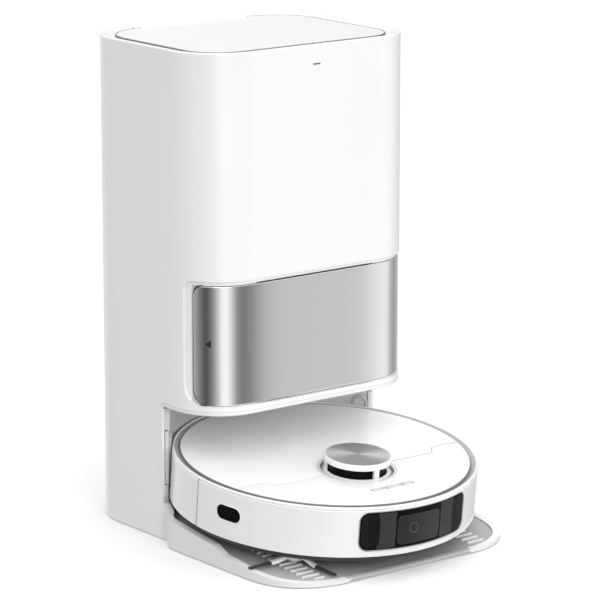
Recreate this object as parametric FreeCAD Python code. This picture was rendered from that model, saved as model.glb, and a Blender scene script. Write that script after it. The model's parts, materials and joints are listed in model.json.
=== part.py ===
import FreeCAD, Part

import math
import os

from FreeCAD import Placement, Rotation, Vector

# Robot vacuum parked in its self-emptying, mop-washing dock. Millimetres, +Z up, front is -Y, X is across.
# The row's origin is the middle of the whole object's footprint, on the floor. The dock is drawn about the
# column's own centre line, the robot about the centre of its top plate, and each is then placed.

# ---- driving dimensions: dock
COLUMN_WIDTH = 308.7
COLUMN_DEPTH = 252.4
DOCK_HEIGHT = 568.0
FRONT_CORNER = 62.4
BACK_CORNER = 74.4
COLUMN_Y = 94.6
WALL = 3.0
FOOT = 1.5
HOOD_BOTTOM = 156.5
SEAM_Z = 162.0
BAY_MOUTH = -39.0
RECESS = (167.0, 311.5)
RECESS_EDGE = -78.6
DOOR = (168.6, 306.0)
DOOR_EDGE = -90.0
RIM_INSET = 17.3
LID_INSET = 18.3
LID_TOP = 566.4
LID_THICK = 4.9
HINGE = (106.5, 566.7)
HINGE_PIN = 0.7
PORT_ANGLE = 141.5
PORT_Z = -18.0
PORT_SLOT = (5.5, 26.0)
LINER_RADIUS = 182.0
LINER_WALL = 3.0
LINER_SEAM_X = 92.4
BAY_CEILING = 151.0
CONTACT_X = 55.0
STATUS_Z = 546.0
INLET = (60.0, 43.0)
SCREW_X = 70.0
SCREW_HEIGHTS = (28.0, 190.0, 350.0, 512.0)
DECK_Z = 322.0
TANK_TOP = 538.0
TANK_INSET = 19.5
TANK_WALL = 2.5
TANK_MOUTH = (68.0, -45.0)
TANK_MOUTH_RADIUS = 24.0
TANK_VALVE = (68.0, 60.0)
CAP_RADIUS = 30.0
DUST_MOUTH = (-60.0, 238.0)
DUST_MOUTH_RADIUS = 15.0
DUCT_X = (-140.0, -112.0)
DUCT_Y = (6.0, 32.0)
DUCT_WALL = 2.5
SUCTION = (-60.0, 70.0)
PUMPS = ((95.0, 82.0), (30.0, 88.0))
BASE_HALF_WIDTH = 170.0
BASE_FRONT = -297.0
BASE_FLARE_Y = -80.0
BASE_CORNER_Y = -215.0
TREAD_PITCH = 10.15
TREAD_COUNT = 13
FAR = 200.0

# ---- driving dimensions: robot
ROBOT_RADIUS = 175.0
PLATE_RADIUS = 165.4
ROBOT_Y = -142.3
PLATE_Z = 100.0
TILT = 5.86
GROUND = -80.0
SHELL_BOTTOM = -58.0
SHELL_TOP = -3.2
CHASSIS_BOTTOM = -67.0
CHASSIS_RADIUS = 166.5
SHELL_INSIDE = 172.2
BUMPER_HALF_ANGLE = 91.5
TURRET_Y = -58.0
BUTTON_Y = -121.0
BUTTON_X = (-21.0, 0.0, 22.0)
BUTTON_SIZE = (6.2, 3.7)
MOAT_RADIUS = 42.3
TURRET_RADIUS = 38.5
WHEEL = (118.0, 5.0, -48.0)
WHEEL_RADIUS = 31.7
WHEEL_WELL = (87.0, 134.0, -33.0, 52.0)
ARM_PIVOT = (40.0, -46.0)
PIVOT_RADIUS = 2.5
BRUSH_Y = -36.0
BRUSH_Z = -61.5
BRUSH_BAY = (72.0, 22.0)
SIDE_BRUSH = (-110.0, -92.0)
MOP = (66.0, 88.0)
MOP_RADIUS = 62.0
MOP_WELL_RADIUS = 64.5
SHAFT_RADIUS = 4.0
CASTER_Y = -135.0
CASTER_AXLE = (-127.0, -67.2)

UP = Vector(0, 0, 1)


# ---- helpers
def box(x0, x1, y0, y1, z0, z1):
    return Part.makeBox(x1 - x0, y1 - y0, z1 - z0, Vector(x0, y0, z0))


def rod(radius, start, end):
    a, b = Vector(*start), Vector(*end)
    return Part.makeCylinder(radius, (b - a).Length, a, b - a)


def disc(radius, z0, z1, x=0.0, y=0.0):
    return Part.makeCylinder(radius, z1 - z0, Vector(x, y, z0), UP)


def ring(outer, inner, z0, z1, x=0.0, y=0.0):
    return disc(outer, z0, z1, x, y).cut(disc(inner, z0 - 1, z1 + 1, x, y))


def join(shapes):
    shapes = list(shapes)
    if len(shapes) == 1:
        return shapes[0]
    return shapes[0].multiFuse(shapes[1:]).removeSplitter()


def group(shapes):
    return Part.makeCompound(list(shapes))


def mirror(shape):
    return shape.mirror(Vector(0, 0, 0), Vector(1, 0, 0))


def both(shape):
    return [shape, mirror(shape)]


def outline(x0, x1, y0, y1, r_front, r_back, z):
    """Closed wire of a rectangle whose front and back corners have their own radii."""
    k = math.sqrt(0.5)
    f, b = r_front, r_back
    fo, bo = f * (1 - k), b * (1 - k)

    def p(x, y):
        return Vector(x, y, z)

    edges = [
        Part.makeLine(p(x0 + f, y0), p(x1 - f, y0)),
        Part.Arc(p(x1 - f, y0), p(x1 - fo, y0 + fo), p(x1, y0 + f)).toShape(),
        Part.makeLine(p(x1, y0 + f), p(x1, y1 - b)),
        Part.Arc(p(x1, y1 - b), p(x1 - bo, y1 - bo), p(x1 - b, y1)).toShape(),
        Part.makeLine(p(x1 - b, y1), p(x0 + b, y1)),
        Part.Arc(p(x0 + b, y1), p(x0 + bo, y1 - bo), p(x0, y1 - b)).toShape(),
        Part.makeLine(p(x0, y1 - b), p(x0, y0 + f)),
        Part.Arc(p(x0, y0 + f), p(x0 + fo, y0 + fo), p(x0 + f, y0)).toShape(),
    ]
    return Part.Wire(edges)


def slab(x0, x1, y0, y1, r_front, r_back, z0, z1):
    face = Part.Face(outline(x0, x1, y0, y1, r_front, r_back, z0))
    return face.extrude(Vector(0, 0, z1 - z0))


def column_wire(inset, z):
    half, deep = COLUMN_WIDTH / 2 - inset, COLUMN_DEPTH / 2 - inset
    return outline(-half, half, -deep, deep, FRONT_CORNER - inset, BACK_CORNER - inset, z)


def column(inset, z0, z1):
    return Part.Face(column_wire(inset, z0)).extrude(Vector(0, 0, z1 - z0))


def side_cutter(y0, y1, z0, z1, r_low, r_high, half=170.0):
    """A block across the whole width whose back corners, seen from the side, are rounded."""
    k = math.sqrt(0.5)
    lo, hi = r_low * (1 - k), r_high * (1 - k)

    def p(y, z):
        return Vector(-half, y, z)

    edges = [
        Part.makeLine(p(y0, z0), p(y1 - r_low, z0)),
        Part.Arc(p(y1 - r_low, z0), p(y1 - lo, z0 + lo), p(y1, z0 + r_low)).toShape(),
        Part.makeLine(p(y1, z0 + r_low), p(y1, z1 - r_high)),
        Part.Arc(p(y1, z1 - r_high), p(y1 - hi, z1 - hi), p(y1 - r_high, z1)).toShape(),
        Part.makeLine(p(y1 - r_high, z1), p(y0, z1)),
        Part.makeLine(p(y0, z1), p(y0, z0)),
    ]
    return Part.Face(Part.Wire(edges)).extrude(Vector(2 * half, 0, 0))


def pill(half_x, half_y, z0, z1, x=0.0, y=0.0):
    r = min(half_x, half_y) - 0.01
    return slab(x - half_x, x + half_x, y - half_y, y + half_y, r, r, z0, z1)


def arc_band(outer, inner, z0, z1, middle_deg, half_deg):
    """Part of a ring about the robot's centre: 0 degrees is +X, -90 is the front."""
    wedge = Part.makeCylinder(outer, z1 - z0, Vector(0, 0, z0), UP, 2 * half_deg)
    wedge.rotate(Vector(0, 0, 0), UP, middle_deg - half_deg)
    return wedge.cut(disc(inner, z0 - 1, z1 + 1))


def docked(shape):
    """Robot space to dock space: the robot stands on the ramp, its nose down."""
    placed = shape.copy()
    placed.Placement = Placement(
        Vector(0, ROBOT_Y, PLATE_Z), Rotation(Vector(1, 0, 0), TILT)
    ).multiply(placed.Placement)
    return placed


def soften(shape, radius, pick):
    """Rounds the edges that pick() accepts, or leaves the shape alone where the kernel can't."""
    edges = [e for e in shape.Edges if pick(e)]
    try:
        rounded = shape.makeFillet(radius, edges)
        return rounded if rounded.isValid() else shape
    except Part.OCCError:
        return shape


def level(edge, z):
    return abs(edge.BoundBox.ZMin - z) < 0.02 and abs(edge.BoundBox.ZMax - z) < 0.02


# ---- dock: casing
def dock_shell():
    shell = column(0, FOOT, DOCK_HEIGHT)
    shell = soften(shell, 2.0, lambda e: level(e, DOCK_HEIGHT))
    rim_slope = Part.makeLoft([column_wire(4.0, 568.1), column_wire(RIM_INSET + 0.1, 564.8)], True, True)
    hollow = column(WALL, 0.0, 552.0)
    mouth = column(RIM_INSET, 551.0, 569.0)
    bay = box(-FAR, FAR, -FAR, BAY_MOUTH, 0, SEAM_Z)
    recess = side_cutter(-140, RECESS_EDGE, *RECESS, 25.0, 12.0)
    back_opening = box(-78.4, 78.4, 120, 130, 20.0, 520.0)
    light_slot = box(-5.2, 5.2, -130, -120, STATUS_Z - 0.9, STATUS_Z + 0.9)
    shell = shell.cut([rim_slope, hollow, mouth, bay, recess, back_opening, light_slot])
    floor = column(0, HOOD_BOTTOM, SEAM_Z - 0.5).common(box(-FAR, FAR, -FAR, BAY_MOUTH - 1.5, 150, 170))
    floor = soften(floor, 4.0, lambda e: level(e, HOOD_BOTTOM) and e.BoundBox.YMin < BAY_MOUTH - 5)
    lip = column(1.2, SEAM_Z - 1.0, SEAM_Z + 0.5).cut(column(WALL, 150, 170))
    lip = lip.common(box(-FAR, FAR, -FAR, BAY_MOUTH - 1.5, 150, 170))
    lugs = both(box(77.6, 86.0, 105.0, 109.5, 560.0, 568.0))
    pin_bore = rod(HINGE_PIN, (-90, *HINGE), (90, *HINGE))
    return join([shell, floor, lip] + lugs).cut(pin_bore)


def lid_hinge_pins():
    return group(rod(HINGE_PIN, (s * 69.0, *HINGE), (s * 86.0, *HINGE)) for s in (-1, 1))


def rear_cover():
    x, z = INLET
    cover = box(-78.0, 78.0, 123.4, COLUMN_DEPTH / 2, 20.4, 519.6)
    vents = [box(-40, 40, 122, 128, 202 + 10 * i, 206 + 10 * i) for i in range(8)]
    inlet = box(x - 13, x + 13, 122, 128, z - 11, z + 11)
    screws = [rod(2.2, (x, 120, z), (x, 130, z)) for x, z in screw_places()]
    return cover.cut(vents + [inlet] + screws)


def screw_places():
    """Both sides of the rear cover, leaving out the corner that the mains inlet takes."""
    left = [(-SCREW_X, z) for z in SCREW_HEIGHTS]
    return left + [(SCREW_X, z) for z in SCREW_HEIGHTS[1:]]


def case_screws():
    screws = []
    back = COLUMN_DEPTH / 2
    for x, z in screw_places():
        head = rod(3.6, (x, back, z), (x, back + 1.2, z))
        slot = rod(1.4, (x, back + 0.5, z), (x, back + 2, z))
        screws.append(join([head.cut(slot), rod(2.1, (x, 112, z), (x, back, z))]))
    return group(screws)


def mains_inlet():
    x, z = INLET
    block = box(x - 12.7, x + 12.7, 108.0, COLUMN_DEPTH / 2, z - 10.7, z + 10.7)
    well = box(x - 9.5, x + 9.5, 114.0, 127.0, z - 7, z + 7)
    pins = [rod(1.2, (x + s * 4, 113.5, z), (x + s * 4, 124.0, z)) for s in (-1, 1)]
    return join([block.cut(well)] + pins)


def status_light():
    return box(-5.0, 5.0, -COLUMN_DEPTH / 2, -122.5, STATUS_Z - 0.8, STATUS_Z + 0.8)


def rubber_feet():
    places = [(-110, 100), (110, 100), (-140, -60), (140, -60), (-120, -240), (120, -240)]
    return group(disc(9.0, 0.0, FOOT, x, y) for x, y in places)


# ---- dock: lid over the tanks
def tank_lid():
    plate = Part.Face(column_wire(LID_INSET, LID_TOP - LID_THICK)).extrude(Vector(0, 0, LID_THICK))
    plate = soften(plate, 1.2, lambda e: level(e, LID_TOP) and e.BoundBox.YMin < 100)
    notches = both(box(76.8, 86.8, 104.0, 130, 555, 570))
    barrel = rod(1.3, (-76.8, *HINGE), (76.8, *HINGE))
    seal_wall = column(30.0, 558.5, LID_TOP - 3).cut(column(33.0, 550, 570))
    seal_wall = seal_wall.common(box(-FAR, FAR, -FAR, 90, 500, 600))
    bores = [rod(HINGE_PIN + 0.05, (s * 68.0, *HINGE), (s * 90.0, *HINGE)) for s in (-1, 1)]
    return join([plate, barrel, seal_wall]).cut(notches + bores)


# ---- dock: front dust door
def dust_door_panel():
    skin = column(0.8, *DOOR).cut(column(2.2, 160, 320))
    return skin.common(side_cutter(-140, DOOR_EDGE, *DOOR, 18.0, 11.0))


def dust_door_frame():
    low, high = DOOR[0] + 1.5, DOOR[1] - 1.5
    frame = column(2.3, low, high).cut([column(4.3, low + 4, high - 4), column(6.9, 100, 400)])
    return frame.common(side_cutter(-140, DOOR_EDGE - 1.5, low, high, 16.5, 9.5))


def door_surround():
    low, high = RECESS
    plate = column(7.2, low - 3, high + 3).cut(column(9.2, 100, 400))
    plate = plate.common(box(-FAR, FAR, -FAR, RECESS_EDGE + 6, 100, 400))
    window = side_cutter(-140, -96.0, low + 8, high - 10, 14.0, 8.0, 140.0)
    window = window.common(box(-124, 124, -FAR, -60, 100, 400))
    sides = column(WALL - 0.1, low - 3, high + 3).cut(column(9.2, 100, 400))
    sides = sides.common(box(-FAR, FAR, RECESS_EDGE - 8, RECESS_EDGE + 6, 100, 400))
    rails = column(WALL - 0.1, low - 3, high + 3).cut(column(9.2, 100, 400))
    rails = rails.common(box(-FAR, FAR, -FAR, RECESS_EDGE, 100, 400))
    middle = box(-FAR, FAR, -FAR, 0, DOOR[0] - 0.6, DOOR[1] + 0.6)
    return join([plate.cut(window), sides, rails.cut(middle)])


# ---- dock: parking bay
def bay_liner():
    """A back panel and two cheeks that meet at upright seams, each with its part of the ceiling."""
    front = BAY_MOUTH + 0.4
    wall = docked(ring(LINER_RADIUS, LINER_RADIUS - LINER_WALL, -150, 120))
    wall = wall.common(box(-151, 151, front, 60, 24.0, BAY_CEILING)).common(column(WALL + 0.4, 0, 300))
    ceiling = column(WALL + 0.4, BAY_CEILING, BAY_CEILING + 3).common(box(-FAR, FAR, front, 46.0, 140, 160))
    flange = box(146.0, 150.8, front, front + 3, 30.0, BAY_CEILING)
    ports = [docked(port_shape(sign, 184, 170, *PORT_SLOT)) for sign in (-1, 1)]
    window = docked(box(-32, 32, 170, 190, -38, -22))
    contacts = [docked(box(x - 7, x + 7, 160, 190, -56, -46)) for x in (-CONTACT_X, CONTACT_X)]
    duct_hole = box(DUCT_X[0] - 1, DUCT_X[1] + 1, DUCT_Y[0] - 1, DUCT_Y[1] + 1, 150, 155)
    seams = both(box(LINER_SEAM_X - 0.1, LINER_SEAM_X + 0.1, -FAR, FAR, 0, FAR))
    holes = ports + [window, duct_hole] + contacts + seams
    return join([wall, ceiling] + both(flange)).cut(holes)


def port_shape(sign, outer, inner, half_width, half_height):
    """A rounded upright slot facing the robot, beside the bay's mouth."""
    slot = pill(half_height, half_width, inner, outer)
    slot.rotate(Vector(0, 0, 0), Vector(0, 1, 0), 90)
    slot.rotate(Vector(0, 0, 0), UP, PORT_ANGLE)
    slot.translate(Vector(0, 0, PORT_Z))
    return slot if sign < 0 else mirror(slot)


def dust_port_seals():
    frames = []
    for sign in (-1, 1):
        frame = port_shape(sign, 178.6, 176.6, PORT_SLOT[0] + 4.5, PORT_SLOT[1] + 5)
        frame = frame.cut(port_shape(sign, 184, 170, PORT_SLOT[0] - 0.5, PORT_SLOT[1] - 0.5))
        frames.append(docked(frame))
    return group(frames)


def charge_contacts():
    pins = []
    for x in (-CONTACT_X, CONTACT_X):
        nose = box(x - 5.5, x + 5.5, 168.4, 184.5, -54.5, -47.5)
        pins.append(docked(soften(nose, 1.5, lambda e: e.BoundBox.YMax < 169)))
    bar = docked(box(-60.5, 60.5, 184.4, 186.4, -54.5, -47.5))
    return join(pins + [bar])


# ---- dock: base and ramp
def base_footprint(inset, z0, z1):
    """Plan of the base: as wide as the column at the back, flaring to the ramp's full width in front."""
    half, narrow = BASE_HALF_WIDTH - inset, COLUMN_WIDTH / 2 - inset
    back_y = BAY_MOUTH - 0.15
    front = BASE_FRONT + inset

    def p(x, y):
        return Vector(x, y, z0)

    flare_start, flare_end = p(narrow, BAY_MOUTH - 2), p(half, BASE_FLARE_Y)
    flare = Part.BezierCurve()
    flare.setPoles([flare_start, p(narrow, BAY_MOUTH - 20), p(half, BAY_MOUTH - 20), flare_end])
    corner = Part.BezierCurve()
    corner.setPoles([p(half, BASE_CORNER_Y), p(half, -262), p(150 - inset, front + 7), p(100, front)])
    right = [
        Part.makeLine(p(narrow, back_y), flare_start),
        flare.toShape(),
        Part.makeLine(flare_end, p(half, BASE_CORNER_Y)),
        corner.toShape(),
        Part.makeLine(p(100, front), p(0, front)),
    ]
    left = [e.mirror(Vector(0, 0, 0), Vector(1, 0, 0)) for e in right]
    back = [Part.makeLine(p(narrow, back_y), p(-narrow, back_y))]
    wire = Part.Wire(Part.__sortEdges__(right + left + back))
    return Part.Face(wire).extrude(Vector(0, 0, z1 - z0))


def ridge_cutter():
    """Everything above the line of the base's side rails, seen from the side."""
    line = [(-38, 44.0), (-46, 40.0), (-57, 36.5), (-78, 33.5), (-113, 29.4), (-156, 24.8)]
    line += [(-164, 21.5), (-173, 17.6), (-183, 16.3), (-300, 4.6)]
    points = [Vector(-200, y, z) for y, z in line]
    points += [Vector(-200, -320, 4.6), Vector(-200, -320, 90), Vector(-200, -38, 90), points[0]]
    return Part.Face(Part.makePolygon(points)).extrude(Vector(400, 0, 0))


def base_tray():
    block = base_footprint(0, FOOT, 60)
    bed = docked(box(-161, 161, -190, 190, GROUND - 4.6, 60)).common(base_footprint(8.5, FOOT, 200))
    under = docked(box(-FAR, FAR, -190, 190, -200, GROUND - 8)).common(base_footprint(4, -10, 200))
    front = block.cut([ridge_cutter(), bed, under.common(box(-FAR, FAR, -280, FAR, -20, 200))])
    back = column(WALL + 0.3, FOOT, 4.2).common(box(-FAR, FAR, BAY_MOUTH - 4, FAR, 0, 20))
    posts = [disc(9.5, FOOT, 21.5, s * 140, -60) for s in (-1, 1)]
    posts += [disc(9.5, FOOT, 4.0, s * 120, -240) for s in (-1, 1)]
    posts = [post.common(base_footprint(2, -10, 200)) for post in posts]
    return join([front, back] + posts)


def ramp_plate():
    """The lift-out tray that the robot drives up, with a track of short treads on each side."""
    sheet = docked(box(-160.6, 160.6, -190, 190, GROUND - 4.3, GROUND - 0.4))
    sheet = sheet.common(base_footprint(9.0, FOOT, 200))
    sheet = sheet.common(box(-FAR, FAR, -287.5, BAY_MOUTH - 1, 1.6, 200))
    well = docked(slab(-139, 139, 18, 160, 20, 60, GROUND - 3.4, 60))
    treads = []
    for x0 in (-131.0, 99.0):
        for i in range(TREAD_COUNT):
            y = -153.5 + TREAD_PITCH * i
            treads.append(docked(pill(12.0, 1.3, GROUND - 1.0, GROUND + 1.4, x0 + 12, y)))
    inside = base_footprint(11.0, FOOT, 200)
    return join([sheet.cut(well)] + [t.common(inside) for t in treads])


def washboard():
    """The ribbed wash tray under the two mop pads."""
    plate = docked(slab(-138.5, 138.5, 18.5, 100, 20, 4, GROUND - 3.2, GROUND - 1.9))
    ribs = []
    for sign in (-1, 1):
        for i in range(12):
            spoke = box(12, 50, -1.2, 1.2, GROUND - 2.0, GROUND - 0.4)
            spoke.rotate(Vector(0, 0, 0), UP, 30.0 * i)
            spoke.translate(Vector(sign * MOP[0], MOP[1], 0))
            ribs.append(docked(spoke))
        ribs.append(docked(ring(13.0, 10.0, GROUND - 2.0, GROUND - 0.4, sign * MOP[0], MOP[1])))
    tray = join([plate] + ribs)
    return tray.common(box(-FAR, FAR, -300, BAY_MOUTH - 1.0, 0, 200))


# ---- dock: tanks
def tank_deck():
    deck = column(WALL + 0.3, DECK_Z, DECK_Z + 3)
    divider = box(-1.2, 1.2, -100, 100, DECK_Z + 2, DECK_Z + 90)
    x, y = TANK_VALVE
    ports = [disc(9.0, DECK_Z - 1, DECK_Z + 4, s * x, y) for s in (-1, 1)]
    return join([deck, divider]).cut(ports)


def tank(sign):
    """An open-mouthed tank with a valve boss under its floor."""
    low = DECK_Z + 3.3
    body = column(TANK_INSET, low, TANK_TOP).common(box(2.0, FAR, -FAR, FAR, low, TANK_TOP))
    room = box(2.0 + TANK_WALL, FAR, -FAR, FAR, low, TANK_TOP)
    inner = column(TANK_INSET + TANK_WALL, low + TANK_WALL, TANK_TOP - TANK_WALL).common(room)
    mouth = disc(TANK_MOUTH_RADIUS, TANK_TOP - 5, TANK_TOP + 5, *TANK_MOUTH)
    valve = disc(8.0, low - 3, low + 1, *TANK_VALVE)
    shape = join([body.cut([inner, mouth]), valve])
    return shape if sign > 0 else mirror(shape)


def tank_caps():
    return group(both(tank_cap(*TANK_MOUTH)))


def tank_cap(x, y):
    """A finger-grip cap that rests on the tank's top, its plug in the mouth."""
    cap = disc(CAP_RADIUS, TANK_TOP + 0.3, TANK_TOP + 12, x, y)
    grips = []
    for i in range(24):
        a = math.radians(15 * i)
        reach = CAP_RADIUS + 0.4
        grips.append(disc(1.2, TANK_TOP - 1, TANK_TOP + 13, x + reach * math.cos(a), y + reach * math.sin(a)))
    plug = disc(TANK_MOUTH_RADIUS - 0.3, TANK_TOP - 3, TANK_TOP + 0.4, x, y)
    return join([cap.cut(grips), plug])


def tank_handles():
    handles = []
    for sign in (-1, 1):
        outer = slab(30, 106, 0, 80, 14, 14, TANK_TOP + 0.3, TANK_TOP + 6)
        inner = slab(38, 98, -20, 68, 3, 9, TANK_TOP - 1, TANK_TOP + 8)
        bail = outer.cut(inner)
        handles.append(bail if sign > 0 else mirror(bail))
    return group(handles)


# ---- dock: inside
def dust_chamber():
    outer = box(-116, 14, -110, -18, 172, 304).common(column(15.0, 100, 400))
    inner = box(-113.5, 11.5, -130, -20.5, 174.5, 301.5)
    return outer.cut([inner, dust_hole(DUST_MOUTH_RADIUS + 1)])


def dust_hole(radius):
    """The round passage from the dust bag to the duct."""
    x, z = DUST_MOUTH
    return rod(radius, (x, -40, z), (x, -10, z))


def dust_bag():
    bag = box(-108, 6, -98, -30, 178, 298).common(column(18.0, 100, 400))
    collar = box(-90, -30, -30.0, -27, 205, 271)
    return join([soften(bag, 8.0, lambda e: True), collar.cut(dust_hole(DUST_MOUTH_RADIUS))])


def detergent_cartridge():
    body = box(26, 112, -100, -24, 176, 286).common(column(14.0, 100, 400))
    neck = disc(11, 285, 298, 60, -60)
    return join([soften(body, 5.0, lambda e: True), neck])


def suction_motor():
    fan_case = disc(43, 196, 226, *SUCTION)
    motor = disc(31, 225, 276, *SUCTION)
    outlet = box(-30, 10, 74, 104, 200, 222)
    mount = ring(45, 30, 208, 213, *SUCTION)
    return join([fan_case, motor, outlet, mount])


def dust_duct():
    """From the scoop behind the left dust port, up the back of the column and across to the dust bag."""
    x0, x1 = DUCT_X
    y0, y1 = DUCT_Y
    t = DUCT_WALL
    inside = column(WALL + 1, 0, 300)
    scoop = box(x0 - 10.5, x1 + 0.1, -35.2, y1, 58, 121).common(inside)
    scoop = scoop.cut([docked(disc(182.3, -200, 200)), box(x0 - 8, x1 - t, -32.7, y1 - t, 60.5, 118.5)])
    riser = box(x0, x1, y0, y1, 120.9, 154.4).common(inside)
    elbow = box(x0, -44, y0, y1, 154.3, 180).common(inside)
    elbow = elbow.cut(box(x0 + t, -44 - t, y0 + t, y1 - t, 157, 177.5))
    neck = box(-76, -44, -18, 20, 179.9, 254).cut(box(-76 + t, -44 - t, -15.5, 17.5, 176, 251.5))
    neck = neck.cut(dust_hole(DUST_MOUTH_RADIUS))
    opening = box(-76 + t, -44 - t, y0 + t, 17.5, 170, 190)
    passage = box(x0 + t, x1 - t, y0 + t, y1 - t, 110, 160)
    return join([scoop, riser, elbow, neck]).cut([opening, passage])


def water_pumps():
    pumps = []
    for x, y in PUMPS:
        base = box(x - 15, x + 15, y - 15, y + 15, 4.4, 16)
        pumps.append(join([base, disc(13, 15, 62, x, y), rod(3, (x, y, 55), (x, y - 22, 55))]))
    return group(pumps)


def control_board():
    board = box(12, 76, 108.0, 109.6, 180, 310)
    parts = [box(x, x + 12, 104.5, 108.2, z, z + 14) for x in (20, 38, 56) for z in (190, 225, 262, 288)]
    return join([board] + parts)


def power_supply():
    case = box(-110, -20, 62, 104, 4.4, 46)
    fins = [box(-104 + 9 * i, -100 + 9 * i, 60, 106, 40, 50) for i in range(9)]
    return case.cut(fins)


# ---- robot: shells
def mop_wells(top):
    return [disc(MOP_WELL_RADIUS, -90, top, s * MOP[0], MOP[1]) for s in (-1, 1)]


def chassis_floor():
    skirt = ring(CHASSIS_RADIUS, 155.0, -62.5, -59.5)
    lower_skirt = ring(164.0, 155.0, CHASSIS_BOTTOM, -59.5)
    floor = join([disc(164.0, CHASSIS_BOTTOM, CHASSIS_BOTTOM + 3), skirt, lower_skirt])
    wheel_wells = both(box(*WHEEL_WELL, -90, -40))
    brush_bay = box(-BRUSH_BAY[0], BRUSH_BAY[0], BRUSH_Y - BRUSH_BAY[1], BRUSH_Y + BRUSH_BAY[1], -90, -40)
    caster_well = disc(24.0, -90, -40, 0, CASTER_Y)
    side_hole = disc(16.0, -90, -40, *SIDE_BRUSH)
    return floor.cut(wheel_wells + [brush_bay, caster_well, side_hole] + mop_wells(-40))


def side_brush_mount():
    cup = ring(19.0, 16.0, CHASSIS_BOTTOM, -46, *SIDE_BRUSH)
    return join([cup, disc(19.0, -49, -46, *SIDE_BRUSH).cut(disc(2.0, -60, -40, *SIDE_BRUSH))])


def wheel_housings():
    x0, x1, y0, y1 = WHEEL_WELL
    housing = box(x0 - 1.6, x1 + 1.6, y0 - 1.6, y1 + 1.6, CHASSIS_BOTTOM, -9)
    housing = housing.cut(box(*WHEEL_WELL, -90, -10.6))
    post = box(104.0, 107.0, 32, y1, -60, -9)
    return [h.cut(mop_wells(-60)) for h in both(join([housing, post]))]


def caster_mount():
    cup = ring(26.0, 24.0, CHASSIS_BOTTOM, -44, 0, CASTER_Y)
    return join([cup, disc(26.0, -44, -40, 0, CASTER_Y).cut(disc(3.05, -50, -30, 0, CASTER_Y))])


def brush_housing():
    x, y = BRUSH_BAY
    outer = box(-x - 2, x + 2, BRUSH_Y - y - 2, BRUSH_Y + y + 2, CHASSIS_BOTTOM, -41)
    return outer.cut(box(-x, x, BRUSH_Y - y, BRUSH_Y + y, -90, -42.5))


def robot_chassis():
    wall = ring(CHASSIS_RADIUS, 164.0, -60.0, -7.4)
    spine = box(-4, 4, 64, 164.5, CHASSIS_BOTTOM, -64).cut(mop_wells(-40))
    parts = [chassis_floor(), wall, side_brush_mount(), caster_mount(), brush_housing(), spine]
    shape = join(parts + wheel_housings())
    pivot = rod(PIVOT_RADIUS, (-140, *ARM_PIVOT), (140, *ARM_PIVOT))
    axle = rod(2.05, (-73.2, BRUSH_Y, BRUSH_Z), (73.2, BRUSH_Y, BRUSH_Z))
    light_gap = arc_band(168, 160, -45, -35, 90, 4)
    pins = both(rod(PIVOT_RADIUS, (85.0, *ARM_PIVOT), (107.0, *ARM_PIVOT)))
    return docked(join([shape.cut([pivot, axle, light_gap])] + pins))


def rear_shell():
    half = 180 - BUMPER_HALF_ANGLE - 0.9
    band = arc_band(ROBOT_RADIUS, SHELL_INSIDE, SHELL_BOTTOM, SHELL_TOP, 90, half)
    band = soften(band, 1.5, lambda e: level(e, SHELL_TOP) and e.BoundBox.YMax > 174)
    ledge = arc_band(173.0, CHASSIS_RADIUS, -14.0, -11.0, 90, half)
    return docked(join([band, ledge]))


def top_ring():
    inner = PLATE_RADIUS + 0.3
    band = ring(173.4, inner, -2.9, -0.9)
    band = soften(band, 0.8, lambda e: level(e, -0.9) and e.BoundBox.XLength > 340)
    return docked(join([band, ring(167.4, inner, -7.4, -2.8)]))


def plate_region(clearance):
    """The part of the top plate that belongs to the rear cover, with finger notches at its front edge."""
    edge = TURRET_Y - 1.0 + clearance
    notch = -45.0 + clearance
    right = [(104, edge), (112, edge + 1.5), (119, notch - 1.5), (127, notch), (FAR, notch), (FAR, FAR)]
    left = [(-x, y) for x, y in reversed(right)]
    points = [Vector(x, y, -30) for x, y in left + right]
    region = Part.Face(Part.makePolygon(points + points[:1])).extrude(Vector(0, 0, 60))
    return region.cut(disc(45.0 + clearance, -40, 40, 0, TURRET_Y))


def top_cover():
    plate = disc(PLATE_RADIUS, -2.6, 0).common(plate_region(0.45))
    rib = ring(158, 155.5, -5.6, -2.5).common(plate_region(6.0))
    return docked(join([plate, rib]))


def front_deck():
    plate = disc(PLATE_RADIUS, -2.6, 0).cut(plate_region(0.0))
    well = disc(42.5, -10, 10, 0, TURRET_Y)
    slot = pill(30.9, 4.9, -10, 10, 0.5, BUTTON_Y)
    tray = pill(32.5, 6.5, -5.0, -2.5, 0.5, BUTTON_Y)
    holes = [pill(6.4, 3.9, -10, 10, x, BUTTON_Y) for x in BUTTON_X]
    flange = ring(PLATE_RADIUS, 160, -5.6, -2.5).cut(plate_region(-3.0))
    support = arc_band(163.5, 161.5, -9.0, -5.5, -90, 60)
    return docked(join([plate.cut([well, slot]), tray.cut(holes), flange, support]))


def button(x):
    half_x, half_y = BUTTON_SIZE
    cap = pill(half_x, half_y, -4.0, -0.7, x, BUTTON_Y)
    stem = pill(half_x - 0.4, half_y - 0.3, -6.0, -3.9, x, BUTTON_Y)
    foot = pill(half_x + 1.6, half_y + 1.5, -6.6, -5.6, x, BUTTON_Y)
    return docked(join([cap, stem, foot]))


def bumper():
    band = arc_band(ROBOT_RADIUS, SHELL_INSIDE, SHELL_BOTTOM, SHELL_TOP, -90, BUMPER_HALF_ANGLE)
    band = soften(band, 1.5, lambda e: level(e, SHELL_TOP) and e.BoundBox.YMin < -174)
    window = camera_outline(172.0, 178.0, 0.15)
    side = side_window_outline(172.0, 178.0, 0.15)
    return docked(band.cut([window, side]))


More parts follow.
